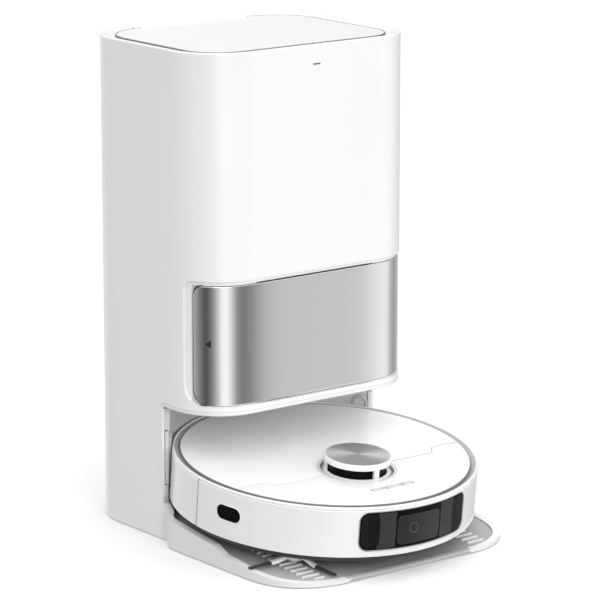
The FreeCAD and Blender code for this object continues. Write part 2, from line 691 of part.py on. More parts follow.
def wall_patch(inner, outer, centre_deg, half_angle, z0, z1, radius):
    """A block that covers a stretch of the bumper wall, its corners rounded as seen from the front."""
    reach = ROBOT_RADIUS * math.sin(math.radians(half_angle))
    face = Part.Face(outline(z0, z1, -reach, reach, radius, radius, 0))
    block = face.extrude(Vector(0, 0, 100))
    block.rotate(Vector(0, 0, 0), Vector(0, 1, 0), -90)
    block.translate(Vector(190, 0, 0))
    band = ring(outer, inner, z0 - 5, z1 + 5)
    patch = block.common(band)
    patch.rotate(Vector(0, 0, 0), UP, centre_deg)
    return patch


def camera_outline(inner, outer, grow):
    return wall_patch(inner, outer, -90, 25.3, -51.0 - grow, -5.5 + grow, 11.0)


def side_window_outline(inner, outer, grow):
    return wall_patch(inner, outer, -165.35, 5.6, -37.0 - grow, -19.0 + grow, 8.5)


def sensor_windows():
    front = camera_outline(172.3, ROBOT_RADIUS + 0.3, 0.0)
    side = side_window_outline(172.3, ROBOT_RADIUS - 0.4, 0.0)
    return docked(group([front, side]))


def lidar_housing():
    base = ring(MOAT_RADIUS, 34.0, -3.0, 3.4, 0, TURRET_Y)
    base = soften(base, 1.5, lambda e: level(e, 3.4) and e.BoundBox.XLength > 80)
    pillars = []
    for i in range(6):
        post = ring(37.5, 34.5, 3.2, 11.2, 0, TURRET_Y).common(box(30, 40, TURRET_Y - 4, TURRET_Y + 4, 0, 20))
        post.rotate(Vector(0, TURRET_Y, 0), UP, 60 * i + 20)
        pillars.append(post)
    top = disc(TURRET_RADIUS, 11.0, 15.2, 0, TURRET_Y)
    top = soften(top, 1.2, lambda e: level(e, 15.2))
    top = top.cut(disc(31.9, 14.2, 20, 0, TURRET_Y))
    floor = disc(MOAT_RADIUS, -22.0, -20.0, 0, TURRET_Y).cut(disc(5.1, -30, 0, 0, TURRET_Y))
    cup = ring(MOAT_RADIUS, 40.0, -20.5, -2.8, 0, TURRET_Y)
    return docked(join([base, top, floor, cup] + pillars))


def lidar_cap():
    cap = disc(31.7, 14.3, 16.4, 0, TURRET_Y)
    return docked(soften(cap, 0.5, lambda e: level(e, 16.4)))


def lidar_rotor():
    body = disc(31.0, -16.0, 9.6, 0, TURRET_Y)
    eyes = [rod(5.0, (x, TURRET_Y - 40, 3.5), (x, TURRET_Y - 26, 3.5)) for x in (-11, 11)]
    shaft = disc(5.0, -24.0, -15.0, 0, TURRET_Y)
    return docked(join([body.cut(eyes), shaft]))


# ---- robot: inside
def dust_bin():
    shell = slab(-60, 60, -10, 56, 6, 6, -52, -8)
    inner = slab(-57.5, 57.5, -7.5, 53.5, 4, 4, -49.5, -10)
    mouth = box(-45, 45, -14, -4, -44, -28)
    grip = box(-18, 18, -4, 2, -10, -7.9)
    return docked(join([shell.cut([inner, mouth]), grip]))


def battery():
    pack = slab(-48, 48, 62, 128, 5, 5, -38, -12)
    return docked(join([pack, box(-12, 12, 128, 133, -30, -20)]))


def suction_fan():
    scroll = disc(26, -38, -14, -92, 98)
    intake = disc(10, -14.2, -9, -92, 98)
    outlet = box(-112, -92, 98, 112, -36, -18)
    return docked(join([scroll, intake, outlet]))


def robot_board():
    board = slab(-62, 62, -152, -106, 6, 6, -15.5, -14)
    chips = [box(x, x + 12, y, y + 12, -14.1, -11.5) for x in (-50, -24, 10, 38) for y in (-148, -126)]
    return docked(join([board] + chips))


def brush_guard():
    frame = box(-71.5, 71.5, BRUSH_Y - 21.5, BRUSH_Y + 21.5, -69.5, -66.9)
    return docked(frame.cut(box(-66.5, 66.5, BRUSH_Y - 17.9, BRUSH_Y + 17.9, -80, -60)))


# ---- robot: what turns
def suspension_arm(sign):
    arm = slab(89.0, 103.0, -14, 50, 6, 6, -58, -36)
    axle = rod(3.0, (102, WHEEL[1], WHEEL[2]), (129.5, WHEEL[1], WHEEL[2]))
    bore = rod(PIVOT_RADIUS + 0.05, (80, *ARM_PIVOT), (110, *ARM_PIVOT))
    shape = join([arm.cut(bore), axle])
    return docked(shape if sign > 0 else mirror(shape))


def drive_wheel(sign):
    x, y, z = WHEEL
    hub = rod(27.0, (x - 9.5, y, z), (x + 9.5, y, z))
    tyre = rod(WHEEL_RADIUS, (x - 10.5, y, z), (x + 10.5, y, z))
    tyre = tyre.cut(rod(26.0, (x - 12, y, z), (x + 12, y, z)))
    grooves = []
    for i in range(24):
        groove = box(x - 12, x + 12, y - 1.1, y + 1.1, z + WHEEL_RADIUS - 1.8, z + WHEEL_RADIUS + 2)
        groove.rotate(Vector(x, y, z), Vector(1, 0, 0), 15 * i)
        grooves.append(groove)
    bore = rod(3.05, (x - 20, y, z), (x + 20, y, z))
    shape = join([hub, tyre.cut(grooves)]).cut(bore)
    return docked(shape if sign > 0 else mirror(shape))


def caster_fork():
    stem = disc(3.0, -52, -34, 0, CASTER_Y)
    head = disc(22.5, -53.6, -50, 0, CASTER_Y)
    cheeks = both(box(9.0, 12.5, CASTER_Y + 1, CASTER_Y + 15, -73, -52))
    pin = rod(2.0, (-12.5, *CASTER_AXLE), (12.5, *CASTER_AXLE))
    return docked(join([stem, head, pin] + cheeks))


def caster_wheel():
    wheel = rod(12.4, (-8.5, *CASTER_AXLE), (8.5, *CASTER_AXLE))
    wheel = soften(wheel, 1.5, lambda e: e.BoundBox.YLength > 20)
    return docked(wheel.cut(rod(2.05, (-20, *CASTER_AXLE), (20, *CASTER_AXLE))))


def main_brush():
    core = rod(10.0, (-65, BRUSH_Y, BRUSH_Z), (65, BRUSH_Y, BRUSH_Z))
    fins = []
    for i in range(6):
        fin = box(-64, 64, BRUSH_Y - 1.2, BRUSH_Y + 1.2, BRUSH_Z + 8, BRUSH_Z + 17.6)
        fin.rotate(Vector(0, BRUSH_Y, BRUSH_Z), Vector(1, 0, 0), 60 * i + 15)
        fins.append(fin)
    shaft = rod(2.0, (-73, BRUSH_Y, BRUSH_Z), (73, BRUSH_Y, BRUSH_Z))
    return docked(join([core, shaft] + fins))


def side_brush():
    x, y = SIDE_BRUSH
    hub = disc(11.0, -75.0, -60.0, x, y)
    shaft = disc(1.95, -61, -44.5, x, y)
    arms = []
    for i in range(3):
        arm = box(6, 28, -4.0, 4.0, -76.0, -72.5)
        tuft = box(27, 56.5, -2.8, 2.8, -77.6, -74.0)
        for piece in (arm, tuft):
            piece.rotate(Vector(0, 0, 0), UP, 174 + 120 * i)
            piece.translate(Vector(x, y, 0))
            arms.append(piece)
    return docked(join([hub, shaft] + arms))


def mop_gearbox():
    boxes = [disc(25.0, -62, -49, s * MOP[0], MOP[1]) for s in (-1, 1)]
    bridge = box(-66, 66, 78, 98, -60, -50)
    bores = [disc(SHAFT_RADIUS + 0.05, -64, -52, s * MOP[0], MOP[1]) for s in (-1, 1)]
    return docked(join(boxes + [bridge]).cut(bores))


def mop_disc(sign):
    plate = disc(56.0, -74.0, -70.5, sign * MOP[0], MOP[1])
    hub = disc(14.0, -71, -64.0, sign * MOP[0], MOP[1])
    shaft = disc(SHAFT_RADIUS, -65, -53.0, sign * MOP[0], MOP[1])
    return docked(join([plate, hub, shaft]))


def mop_pad(sign):
    pad = disc(MOP_RADIUS, GROUND + 0.2, -74.0, sign * MOP[0], MOP[1])
    return docked(soften(pad, 1.5, lambda e: True))


# ---- every node
def nodes():
    yield "dock_shell", join([dock_shell(), door_surround()])
    yield "lid_hinge_pins", lid_hinge_pins()
    yield "rear_cover", rear_cover()
    yield "case_screws", case_screws()
    yield "mains_inlet", mains_inlet()
    yield "status_light", status_light()
    yield "rubber_feet", rubber_feet()
    yield "bay_liner", bay_liner()
    yield "dust_port_seals", dust_port_seals()
    yield "charge_contacts", charge_contacts()
    yield "base_tray", base_tray()
    yield "ramp_plate", ramp_plate()
    yield "washboard", washboard()
    yield "tank_deck", tank_deck()
    yield "clean_water_tank", tank(-1)
    yield "used_water_tank", tank(1)
    yield "tank_caps", tank_caps()
    yield "tank_handles", tank_handles()
    yield "dust_chamber", dust_chamber()
    yield "dust_bag", dust_bag()
    yield "detergent_cartridge", detergent_cartridge()
    yield "suction_motor", suction_motor()
    yield "dust_duct", dust_duct()
    yield "water_pumps", water_pumps()
    yield "control_board", control_board()
    yield "power_supply", power_supply()
    yield "tank_lid", tank_lid()
    yield "dust_door_panel", dust_door_panel()
    yield "dust_door_frame", dust_door_frame()
    yield "robot_chassis", robot_chassis()
    yield "rear_shell", rear_shell()
    yield "top_ring", top_ring()
    yield "front_deck", front_deck()
    yield "top_cover", top_cover()
    yield "bumper", bumper()
    yield "sensor_windows", sensor_windows()
    yield "lidar_housing", lidar_housing()
    yield "lidar_cap", lidar_cap()
    yield "lidar_rotor", lidar_rotor()
    for name, x in zip(("left_button", "power_button", "right_button"), BUTTON_X):
        yield name, button(x)
    yield "dust_bin", dust_bin()
    yield "battery", battery()
    yield "suction_fan", suction_fan()
    yield "robot_board", robot_board()
    yield "brush_guard", brush_guard()
    for name, sign in (("left", -1), ("right", 1)):
        yield f"{name}_suspension_arm", suspension_arm(sign)
        yield f"{name}_drive_wheel", drive_wheel(sign)
        yield f"{name}_mop_disc", mop_disc(sign)
        yield f"{name}_mop_pad", mop_pad(sign)
    yield "caster_fork", caster_fork()
    yield "caster_wheel", caster_wheel()
    yield "main_brush", main_brush()
    yield "side_brush", side_brush()
    yield "mop_gearbox", mop_gearbox()


def main():
    os.makedirs("parts", exist_ok=True)
    for name, shape in nodes():
        placed = shape.copy()
        placed.translate(Vector(0, COLUMN_Y, 0))
        placed.exportStep(f"parts/{name}.step")
        volume = round(placed.Volume / 1000, 1)
        print(name, "solids", len(placed.Solids), "valid", placed.isValid(), "cm3", volume)


main()
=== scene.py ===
import json
import math
import random

import bmesh
import bpy
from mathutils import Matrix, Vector


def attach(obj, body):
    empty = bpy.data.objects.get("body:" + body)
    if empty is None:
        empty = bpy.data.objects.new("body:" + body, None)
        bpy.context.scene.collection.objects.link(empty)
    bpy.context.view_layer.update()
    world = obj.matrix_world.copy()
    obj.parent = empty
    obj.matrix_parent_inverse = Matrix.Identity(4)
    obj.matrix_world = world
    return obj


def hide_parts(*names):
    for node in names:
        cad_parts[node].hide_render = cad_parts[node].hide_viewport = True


# Looks of the robot vacuum and its dock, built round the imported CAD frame. Metres, +Z up, front is -Y.

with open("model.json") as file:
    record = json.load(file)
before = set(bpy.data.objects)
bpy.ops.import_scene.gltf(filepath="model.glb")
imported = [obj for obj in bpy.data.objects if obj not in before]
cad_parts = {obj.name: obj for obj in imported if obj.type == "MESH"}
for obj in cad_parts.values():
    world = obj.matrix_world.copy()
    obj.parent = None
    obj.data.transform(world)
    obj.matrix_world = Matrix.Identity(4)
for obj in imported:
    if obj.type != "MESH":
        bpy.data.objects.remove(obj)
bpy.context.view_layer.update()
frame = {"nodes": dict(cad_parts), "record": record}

# ---- the dock's and robot's main places, the same as in the CAD model
SLOT_OF = {part["node"]: part["material_slot"] for part in frame["record"]["subparts"]}
COLUMN_Y = 0.0946                   # middle of the column, front to back
COLUMN_HALF = 0.15435               # half the column's width
COLUMN_DEEP = 0.1262                # half its depth
FRONT_CORNER = 0.0624
BACK_CORNER = 0.0744
TILT = math.radians(5.86)           # how far the parked robot leans nose-down
PLATE_ORIGIN = Vector((0, COLUMN_Y - 0.1423, 0.1))
RAMP_LEVEL = -0.080                 # the ramp's surface in robot space


def robot_point(x, y, z):
    """Robot space (its top plate's centre, level) to the frame, in metres."""
    c, s = math.cos(TILT), math.sin(TILT)
    return Vector((x, PLATE_ORIGIN.y + y * c - z * s, PLATE_ORIGIN.z + y * s + z * c))


def on_wall(radius, degrees, z):
    """A point on the robot's side: 0 degrees is straight ahead, and negative is towards -X."""
    a = math.radians(degrees)
    return robot_point(radius * math.sin(a), -radius * math.cos(a), z)


# ---- materials
CLOUD_SCALE = 9.0                   # slow colour drift, per metre
SMUDGE_SCALE = 34.0                 # uneven gloss
GRAIN_HEIGHT = 0.00012
COAT_ROUGHNESS = 0.06


def noise(tree, coords, scale, detail=3.0, roughness=0.5, stretch=None):
    node = tree.nodes.new("ShaderNodeTexNoise")
    node.inputs["Scale"].default_value = scale
    node.inputs["Detail"].default_value = detail
    node.inputs["Roughness"].default_value = roughness
    if stretch:
        mapping = tree.nodes.new("ShaderNodeMapping")
        mapping.inputs["Scale"].default_value = stretch
        tree.links.new(coords, mapping.inputs["Vector"])
        coords = mapping.outputs["Vector"]
    tree.links.new(coords, node.inputs["Vector"])
    return node.outputs["Fac"]


def ramp(tree, value, stops):
    node = tree.nodes.new("ShaderNodeValToRGB")
    elements = node.color_ramp.elements
    while len(elements) < len(stops):
        elements.new(0.5)
    for element, (place, colour) in zip(elements, stops):
        element.position = place
        element.color = (*colour, 1.0)
    tree.links.new(value, node.inputs["Fac"])
    return node.outputs["Color"]


def spread(tree, value, low, high):
    node = tree.nodes.new("ShaderNodeMapRange")
    node.inputs["From Min"].default_value = 0.3
    node.inputs["From Max"].default_value = 0.7
    node.inputs["To Min"].default_value = low
    node.inputs["To Max"].default_value = high
    tree.links.new(value, node.inputs["Value"])
    return node.outputs["Result"]


def bump(tree, height, strength, distance, under=None):
    node = tree.nodes.new("ShaderNodeBump")
    node.inputs["Strength"].default_value = strength
    node.inputs["Distance"].default_value = distance
    tree.links.new(height, node.inputs["Height"])
    if under:
        tree.links.new(under, node.inputs["Normal"])
    return node.outputs["Normal"]


def shader(name):
    material = bpy.data.materials.new(name)
    material.use_nodes = True
    tree = material.node_tree
    coords = tree.nodes.new("ShaderNodeTexCoord").outputs["Object"]
    return material, tree, tree.nodes["Principled BSDF"], coords


def shade(colour, factor):
    return tuple(min(1.0, c * factor) for c in colour)


def mottle(tree, value, colour, vary, bsdf):
    """Lets the base colour drift a little darker where the value is low."""
    stops = [(0.3, shade(colour, 1 - vary)), (0.7, colour)]
    tree.links.new(ramp(tree, value, stops), bsdf.inputs["Base Color"])


def maths(tree, operation, *values):
    """A Math node's result. Each value is a number or another node's output."""
    node = tree.nodes.new("ShaderNodeMath")
    node.operation = operation
    for socket, value in zip(node.inputs, values):
        if isinstance(value, (int, float)):
            socket.default_value = value
        else:
            tree.links.new(value, socket)
    return node.outputs["Value"]


def moulded(name, colour, rough, vary=0.03, grain=2600.0, depth=0.10, coat=0.0, through=0.0, spec=0.5):
    """Moulded plastic: faint cloudiness, a fine surface grain and slightly uneven gloss."""
    material, tree, bsdf, coords = shader(name)
    mottle(tree, noise(tree, coords, CLOUD_SCALE, 4.0), colour, vary, bsdf)
    smudge = noise(tree, coords, SMUDGE_SCALE, 5.0, 0.62)
    tree.links.new(spread(tree, smudge, rough * 0.86, rough * 1.16), bsdf.inputs["Roughness"])
    fine = noise(tree, coords, grain, 2.0)
    tree.links.new(bump(tree, fine, depth, GRAIN_HEIGHT), bsdf.inputs["Normal"])
    bsdf.inputs["Coat Weight"].default_value = coat
    bsdf.inputs["Coat Roughness"].default_value = COAT_ROUGHNESS
    bsdf.inputs["Specular IOR Level"].default_value = spec
    bsdf.inputs["Transmission Weight"].default_value = through
    return material


def painted_reflection_fan(tree, coords, centre_y, turn, colour):
    """Painted reflection of turned metal: lighter along one line through the centre, darker across it."""
    split = tree.nodes.new("ShaderNodeSeparateXYZ")
    tree.links.new(coords, split.inputs["Vector"])
    angle = maths(tree, "ARCTAN2", maths(tree, "SUBTRACT", split.outputs["Y"], centre_y), split.outputs["X"])
    wave = maths(tree, "COSINE", maths(tree, "MULTIPLY_ADD", angle, 2.0, turn))
    fan = maths(tree, "POWER", maths(tree, "MULTIPLY_ADD", wave, 0.5, 0.5), 3.0)
    return ramp(tree, fan, [(0.0, shade(colour, 0.52)), (1.0, colour)])


def brushed(name, colour, rough, lines, vary=0.08, depth=0.05, radial=None):
    """Metal with fine parallel or turned lines; turned metal also gets a painted reflection fan in its base
    colour.
    """
    material, tree, bsdf, coords = shader(name)
    bsdf.inputs["Metallic"].default_value = 1.0
    streak = noise(tree, coords, 1.0, 3.0, 0.6, lines)
    mottle(tree, streak, colour, vary, bsdf)
    tree.links.new(spread(tree, streak, rough * 0.8, rough * 1.25), bsdf.inputs["Roughness"])
    tree.links.new(bump(tree, streak, depth, 0.00008), bsdf.inputs["Normal"])
    if radial:
        # painted reflection: the turned cap's colour is lighter along one line through its centre and darker
        # across it, standing in for bright screens shining in it
        tree.links.new(painted_reflection_fan(tree, coords, *radial, colour), bsdf.inputs["Base Color"])
        bsdf.inputs["Anisotropic"].default_value = 0.85
        tangent = tree.nodes.new("ShaderNodeTangent")
        tangent.direction_type = "RADIAL"
        tangent.axis = "Z"
        tree.links.new(tangent.outputs["Tangent"], bsdf.inputs["Tangent"])
    return material


def woven(name, colour, scale, depth=0.6):
    """Fabric: crossed threads, fuzz and uneven dye."""
    material, tree, bsdf, coords = shader(name)
    tufts = tree.nodes.new("ShaderNodeTexVoronoi")
    tufts.inputs["Scale"].default_value = scale
    tree.links.new(coords, tufts.inputs["Vector"])
    mottle(tree, noise(tree, coords, 60.0, 5.0, 0.6), colour, 0.18, bsdf)
    bsdf.inputs["Roughness"].default_value = 0.92
    bsdf.inputs["Sheen Weight"].default_value = 0.35
    fuzz = noise(tree, coords, scale * 2.2, 3.0)
    soft = bump(tree, fuzz, 0.35, 0.0004)
    tree.links.new(bump(tree, tufts.outputs["Distance"], depth, 0.0009, soft), bsdf.inputs["Normal"])
    return material


WHITE = (0.86, 0.865, 0.87)
LOOKS = {
    "white_gloss": moulded("white_gloss", WHITE, 0.16, 0.015, 1500.0, 0.03, 0.35),
    "white_satin": moulded("white_satin", (0.82, 0.825, 0.83), 0.34, 0.02, 2400.0, 0.12),
    "light_grey": moulded("light_grey", (0.60, 0.61, 0.625), 0.46, 0.04, 2600.0, 0.22),
    "grey_trim": moulded("grey_trim", (0.45, 0.455, 0.465), 0.34, 0.04),
    "dark_plastic": moulded("dark_plastic", (0.055, 0.056, 0.06), 0.42, 0.12, 2600.0, 0.2),
    "black_gloss": moulded("black_gloss", (0.012, 0.0125, 0.014), 0.09, 0.2, 1200.0, 0.02, 0.6),
    "door_metal": brushed("door_metal", (0.93, 0.935, 0.94), 0.16, (1400.0, 1400.0, 16.0), 0.03, 0.02),
    # the last argument places the cap's painted reflection fan and its turned lines
    "cap_metal": brushed("cap_metal", (0.72, 0.72, 0.73), 0.3, (900.0, 900.0, 900.0), 0.05, 0.03,
                         (-0.107, 1.32)),
    "steel": brushed("steel", (0.72, 0.73, 0.75), 0.2, (700.0, 700.0, 700.0)),
    "contact_metal": brushed("contact_metal", (0.86, 0.68, 0.38), 0.24, (900.0, 900.0, 60.0)),
    "soft_rubber": moulded("soft_rubber", (0.50, 0.505, 0.515), 0.62, 0.05, 1800.0, 0.25),
    "dark_rubber": moulded("dark_rubber", (0.035, 0.035, 0.037), 0.7, 0.2, 1500.0, 0.3),
    "tyre": moulded("tyre", (0.028, 0.028, 0.03), 0.74, 0.22, 1300.0, 0.35),
    "clean_tank": moulded("clean_tank", (0.62, 0.74, 0.83), 0.14, 0.03, 900.0, 0.03, 0.2, 0.55),
    "used_tank": moulded("used_tank", (0.36, 0.38, 0.41), 0.16, 0.04, 900.0, 0.03, 0.2, 0.45),
    "bag_fabric": woven("bag_fabric", (0.80, 0.79, 0.76), 900.0, 0.35),
    "mop_fabric": woven("mop_fabric", (0.22, 0.27, 0.34), 520.0, 0.9),
    "detergent": moulded("detergent", (0.34, 0.58, 0.76), 0.2, 0.05, 900.0, 0.04, 0.2, 0.4),
    "circuit": moulded("circuit", (0.03, 0.17, 0.08), 0.38, 0.3, 700.0, 0.4),
    "battery_wrap": moulded("battery_wrap", (0.05, 0.12, 0.32), 0.3, 0.15, 600.0, 0.2),
    "motor_case": moulded("motor_case", (0.09, 0.09, 0.095), 0.4, 0.2, 1900.0, 0.2),
    "light_lens": moulded("light_lens", (0.16, 0.165, 0.18), 0.2, 0.1, 900.0, 0.03, 0.4),
    "brush_bristle": moulded("brush_bristle", (0.05, 0.05, 0.055), 0.5, 0.3, 900.0, 0.4),
    "bin_plastic": moulded("bin_plastic", (0.10, 0.105, 0.115), 0.16, 0.1, 900.0, 0.03, 0.3),
}

for node, obj in frame["nodes"].items():
    obj.data.materials.clear()
    obj.data.materials.append(LOOKS[SLOT_OF[node]])


# ---- light, floor and camera
def background(tree, colour, strength):
    node = tree.nodes.new("ShaderNodeBackground")
    tree.links.new(colour, node.inputs["Color"])
    node.inputs["Strength"].default_value = strength
    return node.outputs["Background"]


def mix_shader(tree, factor, a, b):
    node = tree.nodes.new("ShaderNodeMixShader")
    for socket, value in zip(node.inputs, (factor, a, b)):
        tree.links.new(value, socket)
    return node.outputs["Shader"]


def around(tree, place, stops):
    """Grey levels round the horizon, by degrees: 0 is straight ahead, -Y, and positive is towards -X."""
    return ramp(tree, place, [((degrees + 180) / 360, (level, level, level)) for degrees, level in stops])


# What mirror-like surfaces see: tall light and dark screens. Everything else gets the even sky.
SCREENS = [(-180, 1.2), (-120, 0.55), (-95, 0.34), (-78, 0.50), (-66, 0.86), (-47, 0.90), (-39, 0.62),
           (-35, 0.50), (-30, 0.20), (-16, 0.20), (-3, 0.30), (8, 0.70), (17, 1.0), (28, 1.0), (38, 0.52),
           (50, 0.20), (63, 0.06), (78, 0.22), (100, 0.60), (140, 1.2), (180, 1.2)]
EVEN_SKY = [(-180, 0.46), (-90, 0.46), (-30, 0.44), (20, 0.46), (70, 0.36), (110, 0.32), (180, 0.40)]
OVERHEAD, OVERHEAD_SEEN = 1.5, 1.1


def studio():
    """A white studio: screens round the sides for glossy surfaces, a bright ceiling and an even sky."""
    world = bpy.data.worlds.new("studio")
    bpy.context.scene.world = world
    world.use_nodes = True
    tree = world.node_tree
    tree.nodes.clear()
    out = tree.nodes.new("ShaderNodeOutputWorld")
    split = tree.nodes.new("ShaderNodeSeparateXYZ")
    tree.links.new(tree.nodes.new("ShaderNodeTexCoord").outputs["Generated"], split.inputs["Vector"])
    left = maths(tree, "MULTIPLY", split.outputs["X"], -1.0)
    ahead = maths(tree, "MULTIPLY", split.outputs["Y"], -1.0)
    turn = maths(tree, "DIVIDE", maths(tree, "ARCTAN2", left, ahead), 2 * math.pi)
    place = maths(tree, "ADD", turn, 0.5)
    up = tree.nodes.new("ShaderNodeMapRange")
    up.inputs["From Min"].default_value = 0.25
    up.inputs["From Max"].default_value = 0.8
    tree.links.new(split.outputs["Z"], up.inputs["Value"])
    white = tree.nodes.new("ShaderNodeRGB").outputs[0]
    white.default_value = (1, 1, 1, 1)
    levels = []
    for stops, overhead in ((EVEN_SKY, OVERHEAD), (SCREENS, OVERHEAD_SEEN)):
        side = background(tree, around(tree, place, stops), 1.0)
        levels.append(mix_shader(tree, up.outputs["Result"], side, background(tree, white, overhead)))
    path = tree.nodes.new("ShaderNodeLightPath")
    lit = mix_shader(tree, path.outputs["Is Glossy Ray"], *levels)
    backdrop = background(tree, white, 1.0)
    tree.links.new(mix_shader(tree, path.outputs["Is Camera Ray"], lit, backdrop), out.inputs["Surface"])


def soft_box(name, place, aim, size, watts):
    data = bpy.data.lights.new(name, "AREA")
    data.shape = "RECTANGLE"
    data.size, data.size_y = size
    data.energy = watts
    lamp = bpy.data.objects.new(name, data)
    lamp.location = place
    lamp.rotation_euler = (Vector(aim) - Vector(place)).to_track_quat("-Z", "Y").to_euler()
    bpy.context.scene.collection.objects.link(lamp)
    return lamp


def make_object(name, bm, material, smooth_angle=30.0):
    mesh = bpy.data.meshes.new(name)
    bm.to_mesh(mesh)
    bm.free()
    for face in mesh.polygons:
        face.use_smooth = True
    mesh.set_sharp_from_angle(angle=math.radians(smooth_angle))
    mesh.materials.append(material)
    obj = bpy.data.objects.new(name, mesh)
    bpy.context.scene.collection.objects.link(obj)
    return obj


def studio_floor():
    bm = bmesh.new()
    bmesh.ops.create_grid(bm, x_segments=8, y_segments=8, size=6.0)
    paint = moulded("floor_paint", (0.93, 0.93, 0.93), 0.8, 0.01, 40.0, 0.02)
    floor = make_object("studio_floor", bm, paint)
    floor.visible_glossy = False
    floor.visible_diffuse = False


CAMERA_PLACE = (-2.2971, -2.9480, 1.1249)
CAMERA_DOWN, CAMERA_TURN = 0.2249, -0.6621
CAMERA_LENS = 201.56                # millimetres, on a sensor 36 mm wide


def camera():
    data = bpy.data.cameras.new("camera")
    data.sensor_width = 36.0
    data.lens = CAMERA_LENS
    data.clip_end = 50.0
    cam = bpy.data.objects.new("camera", data)
    cam.location = CAMERA_PLACE
    cam.rotation_euler = (math.pi / 2 - CAMERA_DOWN, 0, CAMERA_TURN)
    bpy.context.scene.collection.objects.link(cam)
    bpy.context.scene.camera = cam


# ---- mesh helpers
def grid_faces(bm, rows, wrap=False, flip=False):
    """Quads between rows of points of equal length; wrap closes each row on itself."""
    verts = [[bm.verts.new(p) for p in row] for row in rows]
    count = len(rows[0])
    for a, b in zip(verts, verts[1:]):
        for i in range(count if wrap else count - 1):
            j = (i + 1) % count
            quad = (a[i], a[j], b[j], b[i])
            bm.faces.new(quad[::-1] if flip else quad)
    return verts


def skin(bm, loops, first=True, last=True):
    """Joins closed loops of points into a skin and closes its two ends."""
    verts = grid_faces(bm, loops, wrap=True)
    if first:
        bm.faces.new(verts[0][::-1])
    if last:
        bm.faces.new(verts[-1])


def finish_mesh(name, bm, material, body, smooth_angle=30.0):
    bmesh.ops.remove_doubles(bm, verts=bm.verts, dist=1e-6)
    bmesh.ops.recalc_face_normals(bm, faces=bm.faces)
    obj = make_object(name, bm, material, smooth_angle)
    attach(obj, body)
    return obj


def lathe(name, profile, material, body, x=0.0, y=0.0, segments=160, smooth_angle=30.0):
    """A closed profile of (radius, height) turned about an upright axis in robot space."""
    bm = bmesh.new()
    rows = []
    for i in range(segments):
        a = 2 * math.pi * i / segments
        rows.append([robot_point(x + r * math.cos(a), y + r * math.sin(a), z) for r, z in profile])
    rows.append(rows[0])
    grid_faces(bm, rows, wrap=True)
    return finish_mesh(name, bm, material, body, smooth_angle)


def border(rows):
    """The outer points of a grid of rows, in order."""
    return rows[0] + [row[-1] for row in rows[1:]] + rows[-1][-2::-1] + [row[0] for row in rows[-2:0:-1]]


def rounded_edge(radius, near):
    """How far a rounded-over edge drops; near runs from 0 inside the edge to 1 at its rim."""
    return radius * (1 - math.sqrt(max(0.0, 1 - near * near)))


def rounded_distance(u, v, half_u, half_v, corner):
    """How far inside a rounded rectangle a point is."""
    qu, qv = abs(u) - (half_u - corner), abs(v) - (half_v - corner)
    outside = math.hypot(max(qu, 0), max(qv, 0)) + min(max(qu, qv), 0)
    return corner - outside


def wall_panel(name, degrees, z_range, corner, radius, depth, edge, material, rib=None, cells=(56, 44)):
    """A rounded panel on the bumper that follows its side, its edge rounded over; rib is (pitch, height)."""
    centre, half = sum(degrees) / 2, (degrees[1] - degrees[0]) / 2
    half_u = math.radians(half) * radius
    half_v = (z_range[1] - z_range[0]) / 2
    middle = sum(z_range) / 2
    across, up = cells

    def even(i, n):
        return math.sin(math.pi / 2 * (2 * i / n - 1))

    rows = []
    for j in range(up + 1):
        v = half_v * (2 * j / up - 1 if rib else even(j, up))
        inset = max(0.0, abs(v) - (half_v - corner))
        reach = half_u - corner + math.sqrt(max(0.0, corner * corner - inset * inset))
        row = []
        for i in range(across + 1):
            u = reach * even(i, across)
            near = max(0.0, edge - max(0.0, rounded_distance(u, v, half_u, half_v, corner))) / edge
            out = radius - rounded_edge(edge, near)
            if rib:
                wave = math.sin(2 * math.pi * v / rib[0] + RIB_WANDER * math.sin(u * 900))
                out += rib[1] * wave * (1 - near)
            row.append((out, centre + math.degrees(u / radius), middle + v))
        rows.append(row)
    bm = bmesh.new()
    grid_faces(bm, [[on_wall(*p) for p in row] for row in rows])
    grid_faces(bm, [[on_wall(radius - depth, p[1], p[2]) for p in row] for row in rows], flip=True)
    rim = border(rows)
    sides = [[on_wall(*p) for p in rim], [on_wall(radius - depth, p[1], p[2]) for p in rim]]
    grid_faces(bm, sides, wrap=True)
    return finish_mesh(name, bm, material, "bumper", 40.0)


def tube(name, path, radius, material, body, closed=True, sides=10):
    """A round bead along a path of points."""
    bm = bmesh.new()
    rows = []
    count = len(path)
    up = None
    for i, p in enumerate(path):
        before = path[(i - 1) % count] if closed or i else p
        after = path[(i + 1) % count] if closed or i < count - 1 else p
        along = (after - before).normalized()
        if up is None:
            up = along.orthogonal().normalized()
        up = (up - along * up.dot(along)).normalized()
        side = along.cross(up)
        ring = []
        for k in range(sides):
            a = 2 * math.pi * k / sides
            ring.append(p + (up * math.cos(a) + side * math.sin(a)) * radius)
        rows.append(ring)
    skin(bm, rows + rows[:1] if closed else rows, first=not closed, last=not closed)
    return finish_mesh(name, bm, material, body, 60.0)


def wall_outline(degrees, z_range, corner, radius, steps=10):
    """Points round a rounded rectangle on the robot's side."""
    centre, half = sum(degrees) / 2, (degrees[1] - degrees[0]) / 2
    half_u = math.radians(half) * radius
    half_v, middle = (z_range[1] - z_range[0]) / 2, sum(z_range) / 2
    points = []
    for quarter, (su, sv) in enumerate([(1, 1), (-1, 1), (-1, -1), (1, -1)]):
        for k in range(steps + 1):
            a = math.pi / 2 * (quarter + k / steps)
            u = su * (half_u - corner) + corner * math.cos(a)
            v = sv * (half_v - corner) + corner * math.sin(a)
            points.append((u, v))
    ends = points[1:] + points[:1]
    path = []
    for (u, v), (u2, v2) in zip(points, ends):
        parts = max(1, int(math.hypot(u2 - u, v2 - v) / 0.002))
        for k in range(parts):
            t = k / parts
            turn = math.degrees((u + (u2 - u) * t) / radius)
            path.append(on_wall(radius, centre + turn, middle + v + (v2 - v) * t))
    return path


